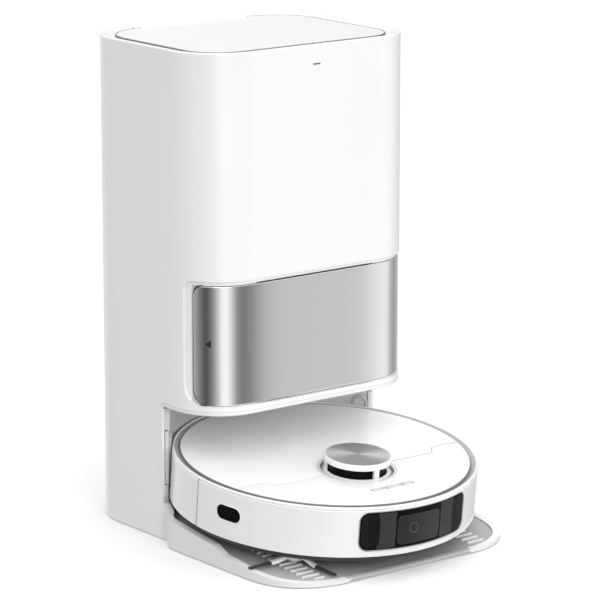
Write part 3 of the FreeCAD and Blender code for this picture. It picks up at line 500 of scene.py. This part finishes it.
# ---- materials of the new pieces
BLACK_RIB = moulded("window_ribs", (0.062, 0.062, 0.064), 0.5, 0.2, 2200.0, 0.3, spec=0.3)
BLACK_LENS = moulded("window_lens", (0.012, 0.012, 0.013), 0.16, 0.2, 900.0, 0.01, spec=0.12)
BLACK_BLOCK = moulded("window_block", (0.030, 0.030, 0.032), 0.24, 0.2, 1500.0, 0.04, spec=0.3)
BLACK_BED = moulded("window_bed", (0.004, 0.004, 0.005), 0.4, 0.2, 1500.0, 0.1, spec=0.1)
SIDE_BLACK = moulded("side_lens", (0.003, 0.003, 0.0035), 0.14, 0.2, 900.0, 0.01, spec=0.05)
RING_GREY = moulded("mark_grey", (0.13, 0.13, 0.135), 0.4, 0.1)
BEZEL_GREY = moulded("bezel_grey", (0.36, 0.36, 0.37), 0.3, 0.04)
# painted shade: a dark colour for gaps and grooves, standing in for the shade inside them
GAP_SHADE = moulded("gap_shade", (0.045, 0.045, 0.047), 0.7, 0.1, spec=0.2)
# dark seam lines in the deck, and painted shade in the lid's gap and on the top plate's edge
SEAM_AND_SHADE_GREY = moulded("seam_and_shade_grey", (0.22, 0.22, 0.225), 0.6, 0.06)
RAMP_GREY = moulded("ramp_grey", (0.43, 0.435, 0.44), 0.5, 0.05, 2200.0, 0.25)
TREAD_GREY = moulded("tread_grey", (0.66, 0.665, 0.67), 0.4, 0.03)
LINER_WHITE = moulded("liner_white", (0.66, 0.665, 0.67), 0.42, 0.02, 2600.0, 0.2)
# painted light: a brighter copy of the white gloss for the top plate, lifting it where the dock's hood shades
# it
LIT_PLATE_WHITE = moulded("lit_plate_white", (0.92, 0.925, 0.93), 0.16, 0.02, coat=0.35)


# ---- bumper, all heights and radii in robot space
WINDOW_DEGREES = (-25.3, 25.3)
WINDOW_LOW, WINDOW_HIGH = -0.051, -0.0055
BLOCK_RADIUS = 0.1759
RIB_PITCH, RIB_HEIGHT, RIB_WANDER = 0.0019, 0.0004, 0.9
PILL_DEGREES = (-80.95, -69.75)
PILL_HEIGHTS = (-0.037, -0.019)


def camera_window():
    """Black window in the bumper: two lenses, two ribbed bands and a proud middle block."""
    whole = (WINDOW_LOW, WINDOW_HIGH)
    bed_degrees = (WINDOW_DEGREES[0] + 0.1, WINDOW_DEGREES[1] - 0.1)
    bed = wall_panel("window_bed", bed_degrees, whole, 0.0109, 0.1744, 0.0018, 0.0006, BLACK_BED,
                     cells=(90, 44))
    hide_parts("sensor_windows")
    ribbed = (WINDOW_LOW + 0.002, WINDOW_HIGH - 0.002)
    for side, degrees in (("left", (-18.2, -10.9)), ("right", (10.0, 17.6))):
        wall_panel(f"{side}_window_ribs", degrees, ribbed, 0.0006, 0.1747, 0.0005, 0.0004, BLACK_RIB,
                   (RIB_PITCH, RIB_HEIGHT), (40, 240))
    glazed = (WINDOW_LOW + 0.0025, WINDOW_HIGH - 0.0025)
    for side, degrees in (("left", (-24.6, -17.3)), ("right", (17.2, 24.6))):
        wall_panel(f"{side}_lens", degrees, glazed, 0.0085, 0.1753, 0.0011, 0.0010, BLACK_LENS)
    wall_panel("middle_block", (-10.4, 9.0), (-0.0472, -0.0128), 0.006, BLOCK_RADIUS, 0.0017, 0.0012,
               BLACK_BLOCK)
    lens_ring()
    bezel = wall_outline(WINDOW_DEGREES, whole, 0.011, 0.1748)
    tube("window_bezel", bezel, 0.0007, BEZEL_GREY, "bumper")
    wall_panel("side_window", PILL_DEGREES, PILL_HEIGHTS, 0.0088, 0.1747, 0.0018, 0.0007, SIDE_BLACK)
    pill = wall_outline(PILL_DEGREES, PILL_HEIGHTS, 0.0088, 0.1749)
    tube("side_window_bezel", pill, 0.0006, LOOKS["white_gloss"], "bumper")


def lens_ring(degrees=-3.5, height=-0.0285, size=0.0056, count=48):
    """Thin grey ring on the middle block."""
    ring = []
    for k in range(count):
        a = 2 * math.pi * k / count
        turn = degrees + math.degrees(size * math.cos(a) / BLOCK_RADIUS)
        ring.append(on_wall(BLOCK_RADIUS, turn, height + size * math.sin(a)))
    tube("lens_ring", ring, 0.00035, RING_GREY, "bumper")


# ---- top of the robot
DECK_SEAM = [(0.0455, -0.0587), (0.060, -0.0587), (0.104, -0.0587), (0.108, -0.0582), (0.112, -0.0570),
             (0.119, -0.0466), (0.123, -0.0453), (0.127, -0.0448), (0.1589, -0.0448)]


def top_trim():
    """The grey channel that slopes to the top plate, a dark ring at its foot that is painted shade of the
    plate's edge, and a white lip outside it.
    """
    slope = [(0.1722, -0.0008), (0.1664, -0.0040), (0.1657, -0.0044), (0.1657, -0.0060),
             (0.1670, -0.0056), (0.1684, -0.0032), (0.1722, -0.0026)]
    trim = lathe("trim_channel", slope, LOOKS["grey_trim"], "robot")
    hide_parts("top_ring")
    lip = [(0.1721, -0.0030), (0.1721, -0.0004), (0.1725, 0.0001), (0.1732, 0.0003), (0.1740, -0.0001),
           (0.1745, -0.0010), (0.1747, -0.0025), (0.1744, -0.0030)]
    lathe("rim_lip", lip, LOOKS["white_gloss"], "robot")
    # painted shade: a dark ring over the top plate's edge, where its side wall would be in shadow
    edge_shade_profile = [(0.16545, -0.0050), (0.16545, -0.0003), (0.1658, -0.0002), (0.1661, -0.0006), (0.1661, -0.0050)]
    lathe("plate_edge_shade", edge_shade_profile, SEAM_AND_SHADE_GREY, "robot")
    for side, sign, radius in (("left", -1, 0.00038), ("right", 1, 0.00055)):
        path = [robot_point(sign * x, y, -0.0003) for x, y in DECK_SEAM]
        tube(f"deck_seam_{side}", path, radius, SEAM_AND_SHADE_GREY, "robot", closed=False)


TURRET_Y = -0.058
FIRST_PILLAR = -92.5                # degrees round from +X


def turret():
    """Laser turret: a stem with three open slots in a grey moat, under a white cap ring."""
    white = LOOKS["white_gloss"]
    cap = [(0.0300, 0.0100), (0.0374, 0.0100), (0.0381, 0.0103), (0.0384, 0.0110), (0.0384, 0.0162),
           (0.0381, 0.0169), (0.0375, 0.0172), (0.0371, 0.0172), (0.0370, 0.0166), (0.0300, 0.0166)]
    body = lathe("turret_ring", cap, white, "robot", 0, TURRET_Y)
    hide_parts("lidar_housing")
    foot = [(0.0340, -0.0220), (0.0340, -0.0012), (0.0345, -0.0008), (0.0376, -0.0008), (0.0384, -0.0014),
            (0.0387, -0.0028), (0.0387, -0.0220)]
    lathe("turret_foot", foot, white, "robot", 0, TURRET_Y)
    moat = [(0.0386, -0.0050), (0.0425, -0.0046), (0.0444, 0.0002), (0.0451, 0.0003), (0.0453, -0.0002),
            (0.0440, -0.0066), (0.0386, -0.0066)]
    lathe("turret_moat", moat, LOOKS["grey_trim"], "robot", 0, TURRET_Y)
    for i in range(3):
        turret_pillar(f"turret_pillar_{i}", FIRST_PILLAR + 120 * i)
    disc = [(0.0, 0.0166), (0.0, 0.0175), (0.0120, 0.0175), (0.0240, 0.0174), (0.0340, 0.0173),
            (0.0366, 0.0171), (0.0369, 0.0166)]
    metal = lathe("turret_disc", disc, LOOKS["cap_metal"], "robot", 0, TURRET_Y)
    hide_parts("lidar_cap")
    core = [(0.0, -0.0200), (0.0, 0.0098), (0.0316, 0.0098), (0.0322, 0.0090), (0.0322, -0.0200)]
    lathe("turret_core", core, BLACK_BED, "robot", 0, TURRET_Y)


def turret_pillar(name, degrees):
    """One of the posts that carry the cap ring, with a slightly crowned face."""
    half = 0.0034 / 0.0375
    rows = []
    for k in range(7):
        t = k / 3 - 1
        a = math.radians(degrees) + half * t
        face = 0.0376 + 0.0002 * (1 - t ** 2)
        corners = [(0.0340, -0.0010), (face, -0.0010), (face, 0.0104), (0.0340, 0.0104)]
        rows.append([robot_point(r * math.cos(a), TURRET_Y + r * math.sin(a), z) for r, z in corners])
    bm = bmesh.new()
    skin(bm, rows)
    finish_mesh(name, bm, LOOKS["white_gloss"], "robot", 40.0)


# ---- dock pieces
DOOR_FACE = 0.1254                  # from the column's middle to the door's flat face
DOOR_SIDE = 0.15355
DOOR_END = -0.090                   # where the skin stops on the column's side
DOOR_LOW, DOOR_HIGH = 0.1686, 0.3060


def door_curve(steps=160):
    """Plan of the door from its middle to its +X end: flat, an easing bend, then the corner.

    Each point is x, y and the angle that the skin has turned through."""
    ease, lead = 0.050, math.radians(4.5)
    radius = 0.0612
    start = DOOR_SIDE - radius * (1 - math.sin(lead)) - ease * math.cos(lead / 2)
    points = [(start * i / 6, -DOOR_FACE, 0.0) for i in range(7)]
    x, y = start, -DOOR_FACE
    easing = steps // 4
    for i in range(easing):
        angle = lead * ((i + 0.5) / easing) ** 2
        x, y = x + ease / easing * math.cos(angle), y + ease / easing * math.sin(angle)
        points.append((x, y, lead * ((i + 1) / easing) ** 2))
    turning = steps - easing
    for i in range(turning):
        angle = lead + (math.pi / 2 - lead) * (i + 0.5) / turning
        step = radius * (math.pi / 2 - lead) / turning
        x, y = x + step * math.cos(angle), y + step * math.sin(angle)
        points.append((x, y, lead + (math.pi / 2 - lead) * (i + 1) / turning))
        if y > DOOR_END + 0.002:
            break
    return points


CURVE = door_curve()
LENGTHS = [0.0]
for first, second in zip(CURVE, CURVE[1:]):
    LENGTHS.append(LENGTHS[-1] + math.hypot(second[0] - first[0], second[1] - first[1]))
DOOR_HALF = max(length for length, point in zip(LENGTHS, CURVE) if point[1] <= DOOR_END)


def on_door(u, z, out):
    """A point on the door's skin, u metres round from its middle and out metres proud of it."""
    far = min(abs(u), LENGTHS[-1])
    i = max(k for k in range(len(LENGTHS)) if LENGTHS[k] <= far + 1e-9)
    i = min(i, len(CURVE) - 2)
    t = (far - LENGTHS[i]) / (LENGTHS[i + 1] - LENGTHS[i])
    x, y, angle = (a + (b - a) * t for a, b in zip(CURVE[i], CURVE[i + 1]))
    x, y = x + out * math.sin(angle), y - out * math.cos(angle)
    return Vector((math.copysign(x, u), COLUMN_Y + y, z))


def door_sheet(name, low, high, end, out, edge, depth, material):
    """A sheet that follows the door: bigger corners low down, a fine rounded edge all round."""
    r_low, r_high = 0.018, 0.011
    up = 48
    inner = [length for length in LENGTHS if length <= end]
    places = [-end] + sorted(set([-length for length in inner] + inner)) + [end]
    rows, back = [], []
    for j in range(up + 1):
        z = low + (high - low) * (1 - math.cos(math.pi * j / up)) / 2
        below, above = max(0.0, low + r_low - z), max(0.0, z - high + r_high)
        reach = end - rounded_edge(r_low, below / r_low) - rounded_edge(r_high, above / r_high)
        row, flat = [], []
        for place in places:
            u = max(-reach, min(reach, place * (reach / end if abs(place) > end - 0.03 else 1.0)))
            near = max(0.0, edge - min(reach - abs(u), z - low, high - z)) / edge
            row.append(on_door(u, z, out - rounded_edge(edge, near)))
            flat.append(on_door(u, z, out - depth))
        rows.append(row)
        back.append(flat)
    bm = bmesh.new()
    grid_faces(bm, rows)
    grid_faces(bm, back, flip=True)
    grid_faces(bm, [border(rows), border(back)], wrap=True)
    return finish_mesh(name, bm, material, "dust_door", 40.0)


def door():
    panel = door_sheet("door_skin", DOOR_LOW, DOOR_HIGH, DOOR_HALF, 0.0, 0.0009, 0.0012, LOOKS["door_metal"])
    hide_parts("dust_door_panel")
    # painted shade: a dark sheet just behind the door's edges darkens the gap round the door
    door_sheet("door_gap_shade", DOOR_LOW - 0.0010, DOOR_HIGH + 0.0014, DOOR_HALF + 0.0009, -0.0016,
               0.0003, 0.0006, GAP_SHADE)


def pull_mark():
    """Small arrowhead that shows where the door is pulled."""
    middle, height = 0.0180 - DOOR_HALF, 0.240
    corners = [(-0.0040, 0.0), (-0.0006, 0.0023), (0.0028, 0.0046), (0.0028, 0.0), (0.0028, -0.0046),
               (-0.0006, -0.0023)]
    rows = []
    for out, size in ((0.0, 1.0), (0.00018, 0.9)):
        rows.append([on_door(middle + du * size, height + dz * size, out) for du, dz in corners])
    bm = bmesh.new()
    skin(bm, rows)
    finish_mesh("pull_mark", bm, BLACK_BLOCK, "dust_door")


def column_point(inset, quarter_steps=14):
    """Plan points round the column's outline, moved in by inset."""
    half, deep = COLUMN_HALF - inset, COLUMN_DEEP - inset
    front, back = FRONT_CORNER - inset, BACK_CORNER - inset
    points = []
    corners = ((half - front, -deep + front, front, -90), (half - back, deep - back, back, 0),
               (-half + back, deep - back, back, 90), (-half + front, -deep + front, front, 180))
    for cx, cy, r, first in corners:
        for k in range(quarter_steps + 1):
            a = math.radians(first + 90 * k / quarter_steps)
            points.append((cx + r * math.cos(a), COLUMN_Y + cy + r * math.sin(a)))
    return points


def lid_gap_shade():
    """Thin dark line round the lid, painted shade of the gap between lid and rim: a section of (inset,
    height) swept round the column's outline.
    """
    section = [(0.0176, 0.5640), (0.0176, 0.5662), (0.0180, 0.5665), (0.0186, 0.5666), (0.0186, 0.5640)]
    rows = [[Vector((x, y, z)) for x, y in column_point(inset)] for inset, z in section]
    bm = bmesh.new()
    grid_faces(bm, rows + rows[:1], wrap=True)
    finish_mesh("lid_gap_shade", bm, SEAM_AND_SHADE_GREY, "lid", 50.0)


def capsule(points_at, half_u, half_v, radius, steps=12):
    """Outline points of a rounded slot through a placing function of (u, v)."""
    path = []
    for quarter, (su, sv) in enumerate([(1, 1), (-1, 1), (-1, -1), (1, -1)]):
        for k in range(steps + 1):
            a = math.radians(90 * (quarter + k / steps))
            u, v = su * (half_u - radius), sv * (half_v - radius)
            path.append(points_at(u + radius * math.cos(a), v + radius * math.sin(a)))
    return path


PORT_RADIUS = 0.1776                # the bay wall, about the robot's middle
PORT_DEGREES = 38.5
PORT_LEVEL = -0.018
PAD_X, PAD_FACE, PAD_LEVEL = 0.1483, COLUMN_Y - 0.0387, 0.0965


def port_seals():
    """Soft lip round each dust port in the bay wall, and the upright pad at each side of the bay's mouth."""
    lips = [port_lip(side, sign) for side, sign in (("left", -1), ("right", 1))]
    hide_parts("dust_port_seals")
    for side, sign in (("left", -1), ("right", 1)):
        mouth_pad(side, sign)


def port_lip(side, sign):
    def at_port(u, v):
        a = math.radians(PORT_DEGREES) + u / PORT_RADIUS
        return robot_point(sign * PORT_RADIUS * math.cos(a), PORT_RADIUS * math.sin(a), PORT_LEVEL + v)

    rows = []
    for shrink in (1.0, 0.8, 0.5, 0.2):
        rows.append(capsule(at_port, 0.0076 * shrink, 0.0286 - 0.0076 * (1 - shrink), 0.0074 * shrink, 8))
    bm = bmesh.new()
    skin(bm, rows, first=False)
    finish_mesh(f"{side}_port_flap", bm, LINER_WHITE, "dock", 50.0)
    outline = capsule(at_port, 0.0078, 0.0286, 0.0076)
    return tube(f"{side}_port_lip", outline, 0.0019, LOOKS["soft_rubber"], "dock")


def mouth_pad(side, sign):
    """Slim upright pad with rounded ends, ringed by a dark tube that is painted shade of the groove round it.
    """
    rows = []
    for depth, shrink in ((0.0, 1.0), (0.0009, 1.0), (0.0014, 0.93), (0.0016, 0.8)):
        def at_mouth(u, v):
            return Vector((sign * PAD_X + u, PAD_FACE - depth, PAD_LEVEL + v))
        tall = 0.0315 * (1 - (1 - shrink) * 0.07)
        rows.append(capsule(at_mouth, 0.0024 * shrink, tall, 0.0023 * shrink, 6))
    bm = bmesh.new()
    skin(bm, rows)
    finish_mesh(f"{side}_mouth_pad", bm, TREAD_GREY, "dock", 50.0)

    def at_groove(u, v):
        return Vector((sign * PAD_X + u, PAD_FACE + 0.0001, PAD_LEVEL + v))

    # painted shade: a dark tube round the pad stands in for the shade in its groove
    tube(f"{side}_pad_groove_shade", capsule(at_groove, 0.0027, 0.0320, 0.0026, 6), 0.0005, GAP_SHADE, "dock")


TREAD_PITCH = 0.01015
TREAD_START = -0.1535
TREAD_COUNT = 12
TREAD_HALF = 0.0122
TREAD_SECTION = ((-0.0012, 1.0), (0.0006, 1.0), (0.0013, 0.86), (0.0017, 0.55), (0.0018, 0.2))


def ramp_treads():
    """Two tracks of short rounded treads on the ramp; the tray's corner cuts the first left one short."""
    for side, x in (("left", -0.119), ("right", 0.111)):
        bm = bmesh.new()
        for i in range(1, TREAD_COUNT + 1):
            cut = 0.0044 if i == 1 and side == "left" else 0.0
            rows = []
            for rise, shrink in TREAD_SECTION:
                def at(u, v):
                    return robot_point(x + cut + u, TREAD_START + TREAD_PITCH * i + v, RAMP_LEVEL + rise)
                half = TREAD_HALF - cut - 0.0016 * (1 - shrink)
                rows.append(capsule(at, half, 0.0016 * shrink, 0.00158 * shrink, 4))
            skin(bm, rows)
        finish_mesh(f"{side}_treads", bm, TREAD_GREY, "dock", 50.0)


APRON_HALF = 0.104
APRON_SINK = 0.0026
APRON_SECTION = [(-0.2868, 0.0036), (-0.2880, 0.0060), (-0.2886, 0.0062), (-0.2964, 0.0054),
                 (-0.2972, 0.0048), (-0.2974, 0.0024)]


def front_apron():
    """The ramp's grey surface carried over the middle of the tray's front lip; its ends sink into the lip."""
    rows = []
    for i in range(61):
        t = 2 * i / 60 - 1
        x, fade = APRON_HALF * t, APRON_SINK * abs(t) ** 12
        over = [Vector((x, COLUMN_Y + y + fade, max(z - fade, 0.0006))) for y, z in APRON_SECTION]
        under = [Vector((x, COLUMN_Y + y + fade + 0.0004, max(z - fade - 0.0010, 0.0004)))
                 for y, z in APRON_SECTION[::-1]]
        rows.append(over + under)
    bm = bmesh.new()
    skin(bm, rows)
    finish_mesh("front_apron", bm, RAMP_GREY, "dock", 50.0)


def recessed(name, colour, deep_colour, rough):
    """White plastic that grows darker as it sinks from 1.2 to 2 mm below the level of the robot's top plate:
    the button tray and the wells in the deck.
    """
    material, tree, bsdf, coords = shader(name)
    split = tree.nodes.new("ShaderNodeSeparateXYZ")
    tree.links.new(coords, split.inputs["Vector"])

    sink = -PLATE_ORIGIN.z * math.cos(TILT) + PLATE_ORIGIN.y * math.sin(TILT)
    along = maths(tree, "MULTIPLY_ADD", split.outputs["Y"], -math.sin(TILT), sink)
    height = maths(tree, "MULTIPLY_ADD", split.outputs["Z"], math.cos(TILT), along)
    mask = tree.nodes.new("ShaderNodeMapRange")
    mask.inputs["From Min"].default_value = -0.0020
    mask.inputs["From Max"].default_value = -0.0012
    tree.links.new(height, mask.inputs["Value"])
    both = ramp(tree, mask.outputs["Result"], [(0.0, deep_colour), (1.0, colour)])
    tree.links.new(both, bsdf.inputs["Base Color"])
    smudge = noise(tree, coords, SMUDGE_SCALE, 5.0, 0.62)
    tree.links.new(spread(tree, smudge, rough * 0.86, rough * 1.16), bsdf.inputs["Roughness"])
    tree.links.new(bump(tree, noise(tree, coords, 1500.0), 0.03, GRAIN_HEIGHT), bsdf.inputs["Normal"])
    bsdf.inputs["Coat Weight"].default_value = 0.35
    bsdf.inputs["Coat Roughness"].default_value = COAT_ROUGHNESS
    return material


# ---- side brush
BRUSH_X, BRUSH_Y = -0.110, -0.092
ARM_DEGREES = (176.0, 283.0, 54.0)
ARM_START, ARM_LENGTH, ARM_LEVEL = 0.0075, 0.0235, -0.0690
TUFT_START, TUFT_LEVEL = 0.0285, -0.0757
STRANDS = 60


def side_brush():
    """White three-armed hub with bent arms, each holding a flat tuft of bristles."""
    random.seed(11)
    hub = [(0.0, -0.0600), (0.0095, -0.0600), (0.0110, -0.0620), (0.0112, -0.0735), (0.0100, -0.0752),
           (0.0, -0.0754)]
    hub_piece = lathe("brush_hub", hub, LOOKS["white_satin"], "side_brush", BRUSH_X, BRUSH_Y, 48)
    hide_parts("side_brush")
    for number, degrees in enumerate(ARM_DEGREES):
        c, s = math.cos(math.radians(degrees)), math.sin(math.radians(degrees))

        def at(along, across, z):
            return robot_point(BRUSH_X + along * c - across * s, BRUSH_Y + along * s + across * c, z)

        brush_arm(f"brush_arm_{number}", at)
        brush_tuft(f"brush_tuft_{number}", at)


def brush_arm(name, at):
    """A tapering arm that bends a little to one side and dips towards its end."""
    rows = []
    for k in range(13):
        t = k / 12
        along = ARM_START + ARM_LENGTH * t
        z = ARM_LEVEL - 0.0058 * t * t * (3 - 2 * t)
        wide = 0.0046 - 0.0016 * t
        bend = 0.0016 * math.sin(math.pi * t)
        section = ((1, 0), (0.75, 0.0011), (-0.75, 0.0011), (-1, 0), (-1, -0.0022), (1, -0.0022))
        rows.append([at(along, wide * side + bend, z + rise) for side, rise in section])
    bm = bmesh.new()
    skin(bm, rows)
    finish_mesh(name, bm, LOOKS["white_satin"], "side_brush", 50.0)


def brush_tuft(name, at):
    bm = bmesh.new()
    for _ in range(STRANDS):
        across = random.uniform(-0.0023, 0.0023)
        lift = random.uniform(-0.0009, 0.0011)
        splay = random.uniform(-0.0009, 0.0009)
        reach = random.uniform(0.0575, 0.0600)
        rings = []
        for k in range(6):
            t = k / 5
            along = TUFT_START + (reach - TUFT_START) * t
            z = TUFT_LEVEL + lift - 0.0016 * t
            thick = 0.00034 * (1 - 0.5 * t)
            corners = [math.pi / 2 * corner for corner in range(4)]
            rings.append([at(along, across + splay * t + thick * math.cos(a), z + thick * math.sin(a))
                          for a in corners])
        skin(bm, rings)
    finish_mesh(name, bm, LOOKS["brush_bristle"], "side_brush", 50.0)


# ---- soft pieces
CLOTH_STEPS = 20


def settle(obj, pressure, cap, pinned):
    """Lets the cloth swell, holding the pinned points, and keeps every move under the cap."""
    start = [v.co.copy() for v in obj.data.vertices]
    group = obj.vertex_groups.new(name="pinned")
    group.add([v.index for v in obj.data.vertices if pinned(v.co)], 1.0, "REPLACE")
    cloth = obj.modifiers.new("cloth", "CLOTH")
    settings = cloth.settings
    settings.quality = 6
    settings.use_pressure = True
    settings.uniform_pressure_force = pressure
    settings.effector_weights.gravity = 0.0
    settings.vertex_group_mass = "pinned"
    scene = bpy.context.scene
    for step in range(1, CLOTH_STEPS + 1):
        scene.frame_set(step)
    shape = obj.evaluated_get(bpy.context.evaluated_depsgraph_get()).to_mesh()
    moved = [v.co.copy() for v in shape.vertices]
    obj.modifiers.remove(cloth)
    scene.frame_set(1)
    for vertex, before, after in zip(obj.data.vertices, start, moved):
        shift = after - before
        if shift.length > cap:
            shift = shift.normalized() * cap
        vertex.co = before + shift


def soft_piece(name, bm, material, body, voxel, pressure, cap, pinned):
    """Remeshes a closed form, swells it as cloth and smooths it once."""
    bmesh.ops.recalc_face_normals(bm, faces=bm.faces)
    obj = make_object(name, bm, material, 70.0)
    remesh = obj.modifiers.new("remesh", "REMESH")
    remesh.mode = "VOXEL"
    remesh.voxel_size = voxel
    mesh = bpy.data.meshes.new_from_object(obj.evaluated_get(bpy.context.evaluated_depsgraph_get()))
    obj.modifiers.clear()
    obj.data = mesh
    for face in mesh.polygons:
        face.use_smooth = True
    settle(obj, pressure, cap, pinned)
    smooth = obj.modifiers.new("finer", "SUBSURF")
    smooth.levels = smooth.render_levels = 1
    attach(obj, body)
    return obj


MOP_X, MOP_Y = 0.066, 0.088
PAD_WEDGES = 6
PAD_PROFILE = [(0.0005, -0.0746), (0.030, -0.0746), (0.0585, -0.0748), (0.0603, -0.0760), (0.0606, -0.0772),
               (0.0596, -0.0784), (0.0560, -0.0788), (0.030, -0.0789), (0.0005, -0.0789)]


def mop_pads():
    """Looped-pile pads with sewn channels between their wedges; only the underside swells."""
    upright = (robot_point(0, 0, 1) - robot_point(0, 0, 0)).normalized()
    for sign, side in ((-1, "left"), (1, "right")):
        centre_x = sign * MOP_X
        rows = []
        for i in range(96):
            a = 2 * math.pi * i / 96
            wedge = (a * PAD_WEDGES / (2 * math.pi)) % 1 - 0.5
            groove = 0.0011 * math.exp(-wedge ** 2 / 0.004)
            row = []
            for r, z in PAD_PROFILE:
                lift = groove if z < -0.0770 and 0.01 < r < 0.058 else 0.0
                row.append(robot_point(centre_x + r * math.cos(a), MOP_Y + r * math.sin(a), z + lift))
            rows.append(row)
        bm = bmesh.new()
        grid_faces(bm, rows + rows[:1], wrap=True)
        top = robot_point(centre_x, MOP_Y, -0.0750)
        pad = soft_piece(f"{side}_pad_cloth", bm, LOOKS["mop_fabric"], f"{side}_mop", 0.0022, 2.0, 0.0008,
                         lambda co: (co - top).dot(upright) > 0)
        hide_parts(f"{side}_mop_pad")


BAG_X = (-0.1055, 0.0035)
BAG_Y = (COLUMN_Y - 0.0955, COLUMN_Y - 0.0325)
BAG_Z = (0.1805, 0.2955)
COLLAR = Vector((-0.060, COLUMN_Y - 0.0285, 0.238))


def squared(a, power):
    """The reach of a rounded square at an angle, where 1 is the reach along its axes."""
    return 1 / (abs(math.cos(a)) ** power + abs(math.sin(a)) ** power) ** (1 / power)


def dust_bag():
    """Pleated fleece bag that bulges between its seams, with a card collar."""
    middle_x, half_x = (BAG_X[0] + BAG_X[1]) / 2, (BAG_X[1] - BAG_X[0]) / 2
    middle_y, half_y = (BAG_Y[0] + BAG_Y[1]) / 2, (BAG_Y[1] - BAG_Y[0]) / 2
    rows = []
    for j in range(21):
        t = j / 20
        pinch = 1 - 0.55 * abs(2 * t - 1) ** 6
        ring = []
        for k in range(64):
            a = 2 * math.pi * k / 64
            c, s, reach = math.cos(a), math.sin(a), squared(a, 5)
            fold = 1 - 0.10 * math.exp(-(abs(c) - 1) ** 2 / 0.002)
            ring.append(Vector((middle_x + half_x * c * reach * fold, middle_y + half_y * s * reach * pinch,
                                BAG_Z[0] + (BAG_Z[1] - BAG_Z[0]) * t)))
        rows.append(ring)
    bm = bmesh.new()
    skin(bm, rows)
    bag = soft_piece("bag_cloth", bm, LOOKS["bag_fabric"], "dock", 0.004, 3.0, 0.0022,
                     lambda co: co.y > BAG_Y[1] - 0.002)
    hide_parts("dust_bag")
    bag_collar()


def bag_collar(thick=0.0013, hole=0.0150, half_x=0.0296, half_z=0.0326):
    """Card plate with a round hole, behind the bag."""
    angles = [2 * math.pi * k / 48 for k in range(48)]
    outer = [(half_x * math.cos(a) * squared(a, 8), half_z * math.sin(a) * squared(a, 8)) for a in angles]
    inner = [(hole * math.cos(a), hole * math.sin(a)) for a in angles]
    rows = []
    for off, outline in ((-thick, outer), (-thick, inner), (thick, inner), (thick, outer)):
        rows.append([COLLAR + Vector((x, off, z)) for x, z in outline])
    bm = bmesh.new()
    grid_faces(bm, rows + rows[:1], wrap=True)
    finish_mesh("bag_collar", bm, TREAD_GREY, "dock", 40.0)


# ---- the build
deck_white = recessed("deck_white", WHITE, (0.62, 0.625, 0.63), 0.16)
# the top plate gets the brighter white, painted light against the hood's shade
for node, material in (("ramp_plate", RAMP_GREY), ("bay_liner", LINER_WHITE), ("top_cover", LIT_PLATE_WHITE),
                       ("front_deck", deck_white)):
    frame["nodes"][node].data.materials[0] = material

camera_window()
top_trim()
turret()
door()
pull_mark()
lid_gap_shade()
port_seals()
ramp_treads()
front_apron()
side_brush()
mop_pads()
dust_bag()

studio()
studio_floor()
soft_box("front_light", (-1.5, -2.5, 1.55), (0, 0, 0.15), (1.8, 1.3), 15.0)
fill_lamps = (
    soft_box("right_light", (1.7, -1.9, 0.7), (0.1, 0, 0.15), (1.0, 0.8), 12.0),
    soft_box("low_light", (-0.7, -2.6, 0.80), (0, 0, 0.12), (1.6, 0.5), 13.0),
    soft_box("bay_light", (-1.0, -1.5, 0.26), (0.05, 0.1, 0.13), (0.9, 0.25), 4.0))
for lamp in fill_lamps:
    lamp.visible_glossy = False
camera()
bpy.context.scene.view_settings.view_transform = "Standard"
